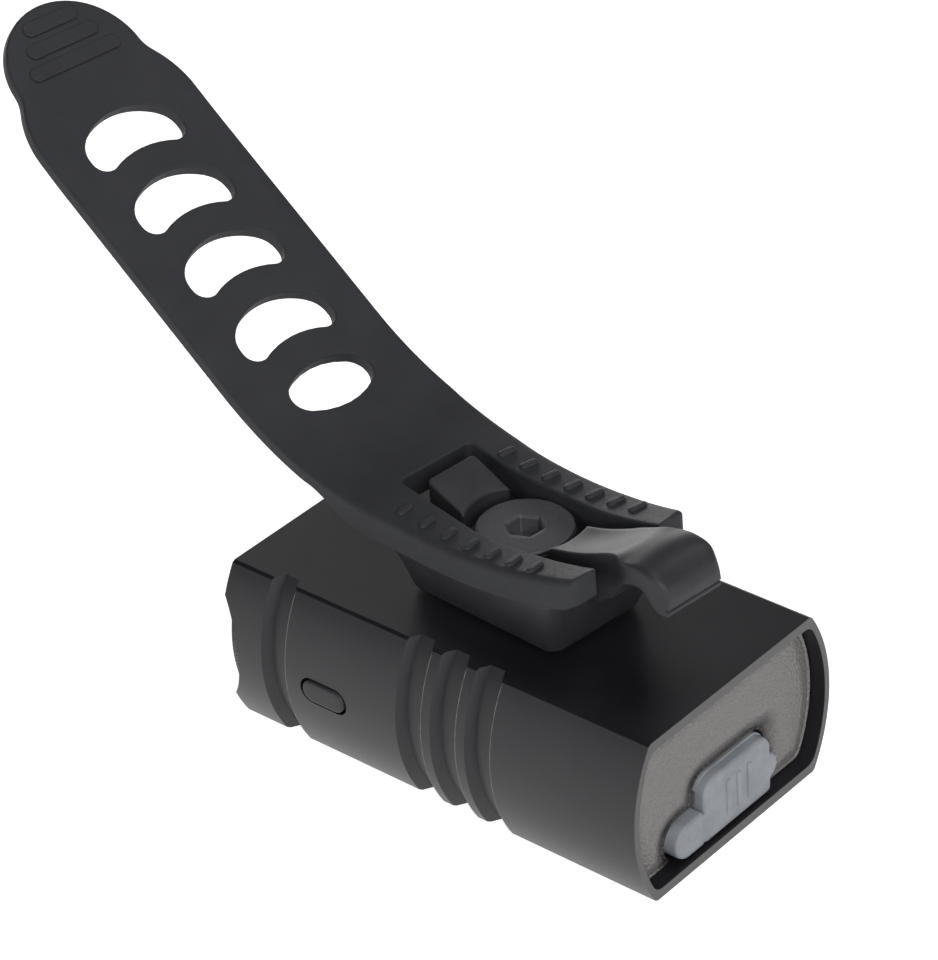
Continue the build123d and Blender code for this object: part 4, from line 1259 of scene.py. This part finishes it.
def build_reflector():
    radius, half_height = SHELL_RADIUS - SIDE_INSET, TOP_Z / 2 - FLAT_INSET
    turn = asin(half_height / radius)
    half_width = radius * cos(turn) - SIDE_CENTRE
    corners, radii = bulged_outline(half_width, half_height, radius, degrees(turn) - 6, 1.2)
    loops = [[(x, z + TOP_Z / 2) for x, z in resample(rounded_path(corners, radii), 0.8)]]
    parts = []
    for side in (-1, 1):
        centre = (side * BOWL_X, TOP_Z / 2)
        loops.append(arc_points(centre, BOWL_MOUTH, 0, 355, 71))
        profile = []
        for step in range(13):
            radius = BOWL_THROAT + (BOWL_MOUTH - BOWL_THROAT) * step / 12
            share = (radius**2 - BOWL_THROAT**2) / (BOWL_MOUTH**2 - BOWL_THROAT**2)
            profile.append((radius, REFLECTOR_BACK - BOWL_DEPTH * share))
        wall = [(radius + 0.25, y + 0.05) for radius, y in reversed(profile)]
        rings = [circle(radius, y, 72) for radius, y in profile + wall + profile[:1]]
        points, faces = stack(rings, closed=False)
        parts.append(([(centre[0] + x, y, centre[1] + z) for x, z, y in points], faces))
    parts.append(plate(loops, 1.5, 0.1, 0.1, facing(REFLECTOR_FRONT, REFLECTOR_FRONT + 0.6)))
    return finish_mesh("reflector_bowls", parts, reflector_metal)


def build_emitters():
    parts = []
    for side in (-1, 1):
        x, z = side * BOWL_X, TOP_Z / 2
        base = rounded_box((x - LED_HALF, z - LED_HALF), (x + LED_HALF, z + LED_HALF), 0.25)
        lift = facing(REFLECTOR_BACK - LED_DEPTH, REFLECTOR_BACK)
        parts.append(plate([resample(base, 0.6)], 0.6, 0.08, 0.05, lift))
        rings = []
        for step in range(9):
            angle = step / 8 * radians(86)
            level = REFLECTOR_BACK - DOME_FOOT - DOME_HEIGHT * sin(angle)
            rings.append(circle(DOME_RADIUS * cos(angle), level, 40))
        points, faces = stack(rings)
        parts.append(([(x + px, y, z + pz) for px, pz, y in points], faces))
    return finish_mesh("led_lights", parts, phosphor)


swap_in(build_reflector(), "reflector", "root")
swap_in(build_emitters(), "led_emitters", "root")


# Stage and light


def build_stage():
    mesh = bpy.data.meshes.new("floor")
    size = FLOOR_HALF
    corners = [(-size, -size, 0), (size, -size, 0), (size, size, 0), (-size, size, 0)]
    mesh.from_pydata(corners, [], [(0, 1, 2, 3)])
    floor = link_object("floor", mesh)
    material = bpy.data.materials.new("floor_white")
    material.use_nodes = True
    graph = Graph(material.node_tree)
    graph.tree.nodes.clear()
    diffuse = graph.add("ShaderNodeBsdfDiffuse", Color=(FLOOR_WHITE, FLOOR_WHITE, FLOOR_WHITE, 1))
    glow = graph.add("ShaderNodeEmission")
    both = graph.add("ShaderNodeAddShader")
    path = graph.add("ShaderNodeLightPath")
    seen = graph.math("MAXIMUM", path.outputs["Is Camera Ray"], path.outputs["Is Glossy Ray"])
    seen = graph.math("MAXIMUM", seen, path.outputs["Is Transmission Ray"])
    graph.link(graph.math("MULTIPLY", seen, FLOOR_GLOW), glow.inputs["Strength"])
    graph.link(diffuse.outputs[0], both.inputs[0])
    graph.link(glow.outputs[0], both.inputs[1])
    graph.link(both.outputs[0], graph.add("ShaderNodeOutputMaterial").inputs["Surface"])
    mesh.materials.append(material)


def build_world():
    """White for the camera; for the object a white horizon under a dim ceiling."""
    world = bpy.data.worlds.new("studio")
    bpy.context.scene.world = world
    world.use_nodes = True
    graph = Graph(world.node_tree)
    path = graph.add("ShaderNodeLightPath")
    split = graph.add("ShaderNodeSeparateXYZ")
    graph.link(graph.add("ShaderNodeTexCoord").outputs["Generated"], split.inputs[0])
    dim = graph.ramp(split.outputs["Z"], *HORIZON, 1.0, CEILING, "SMOOTHSTEP")
    shiny = graph.math("MAXIMUM", path.outputs["Is Glossy Ray"], path.outputs["Is Transmission Ray"])
    around = graph.math("MULTIPLY", graph.math("MAXIMUM", shiny, AMBIENT), dim)
    background = graph.tree.nodes["Background"]
    strength = graph.math("MAXIMUM", around, path.outputs["Is Camera Ray"])
    graph.link(strength, background.inputs["Strength"])
    background.inputs["Color"].default_value = (1, 1, 1, 1)


def softbox(name, at, size, power):
    """A rectangular light turned to the middle of the object."""
    data = bpy.data.lights.new(name, "AREA")
    data.shape = "RECTANGLE"
    data.size, data.size_y = size
    data.energy = power
    lamp = link_object(name, data)
    turn = (Vector(LIGHTS_AIM) - Vector(at)).to_track_quat("-Z", "Y").to_matrix().to_4x4()
    lamp.matrix_world = Matrix.Translation(at) @ turn


FLOOR_HALF, FLOOR_WHITE, FLOOR_GLOW = 6.0, 0.75, 0.85
AMBIENT, CEILING, HORIZON = 0.3, 0.03, (0.05, 0.4)
LIGHTS_AIM = (0, 0, 0.03)
build_stage()
build_world()
softbox("key", (0.5, 0.8, 0.6), (0.8, 0.6), 8.0)
softbox("fill", (0.95, -0.15, 0.3), (0.6, 0.4), 1.2)
softbox("back", (-0.5, -0.85, 0.14), (0.9, 0.25), 4.0)
softbox("top", (-0.3, 0.1, 1.0), (0.5, 0.5), 3.0)
place_camera()
bpy.context.scene.view_settings.view_transform = "Standard"
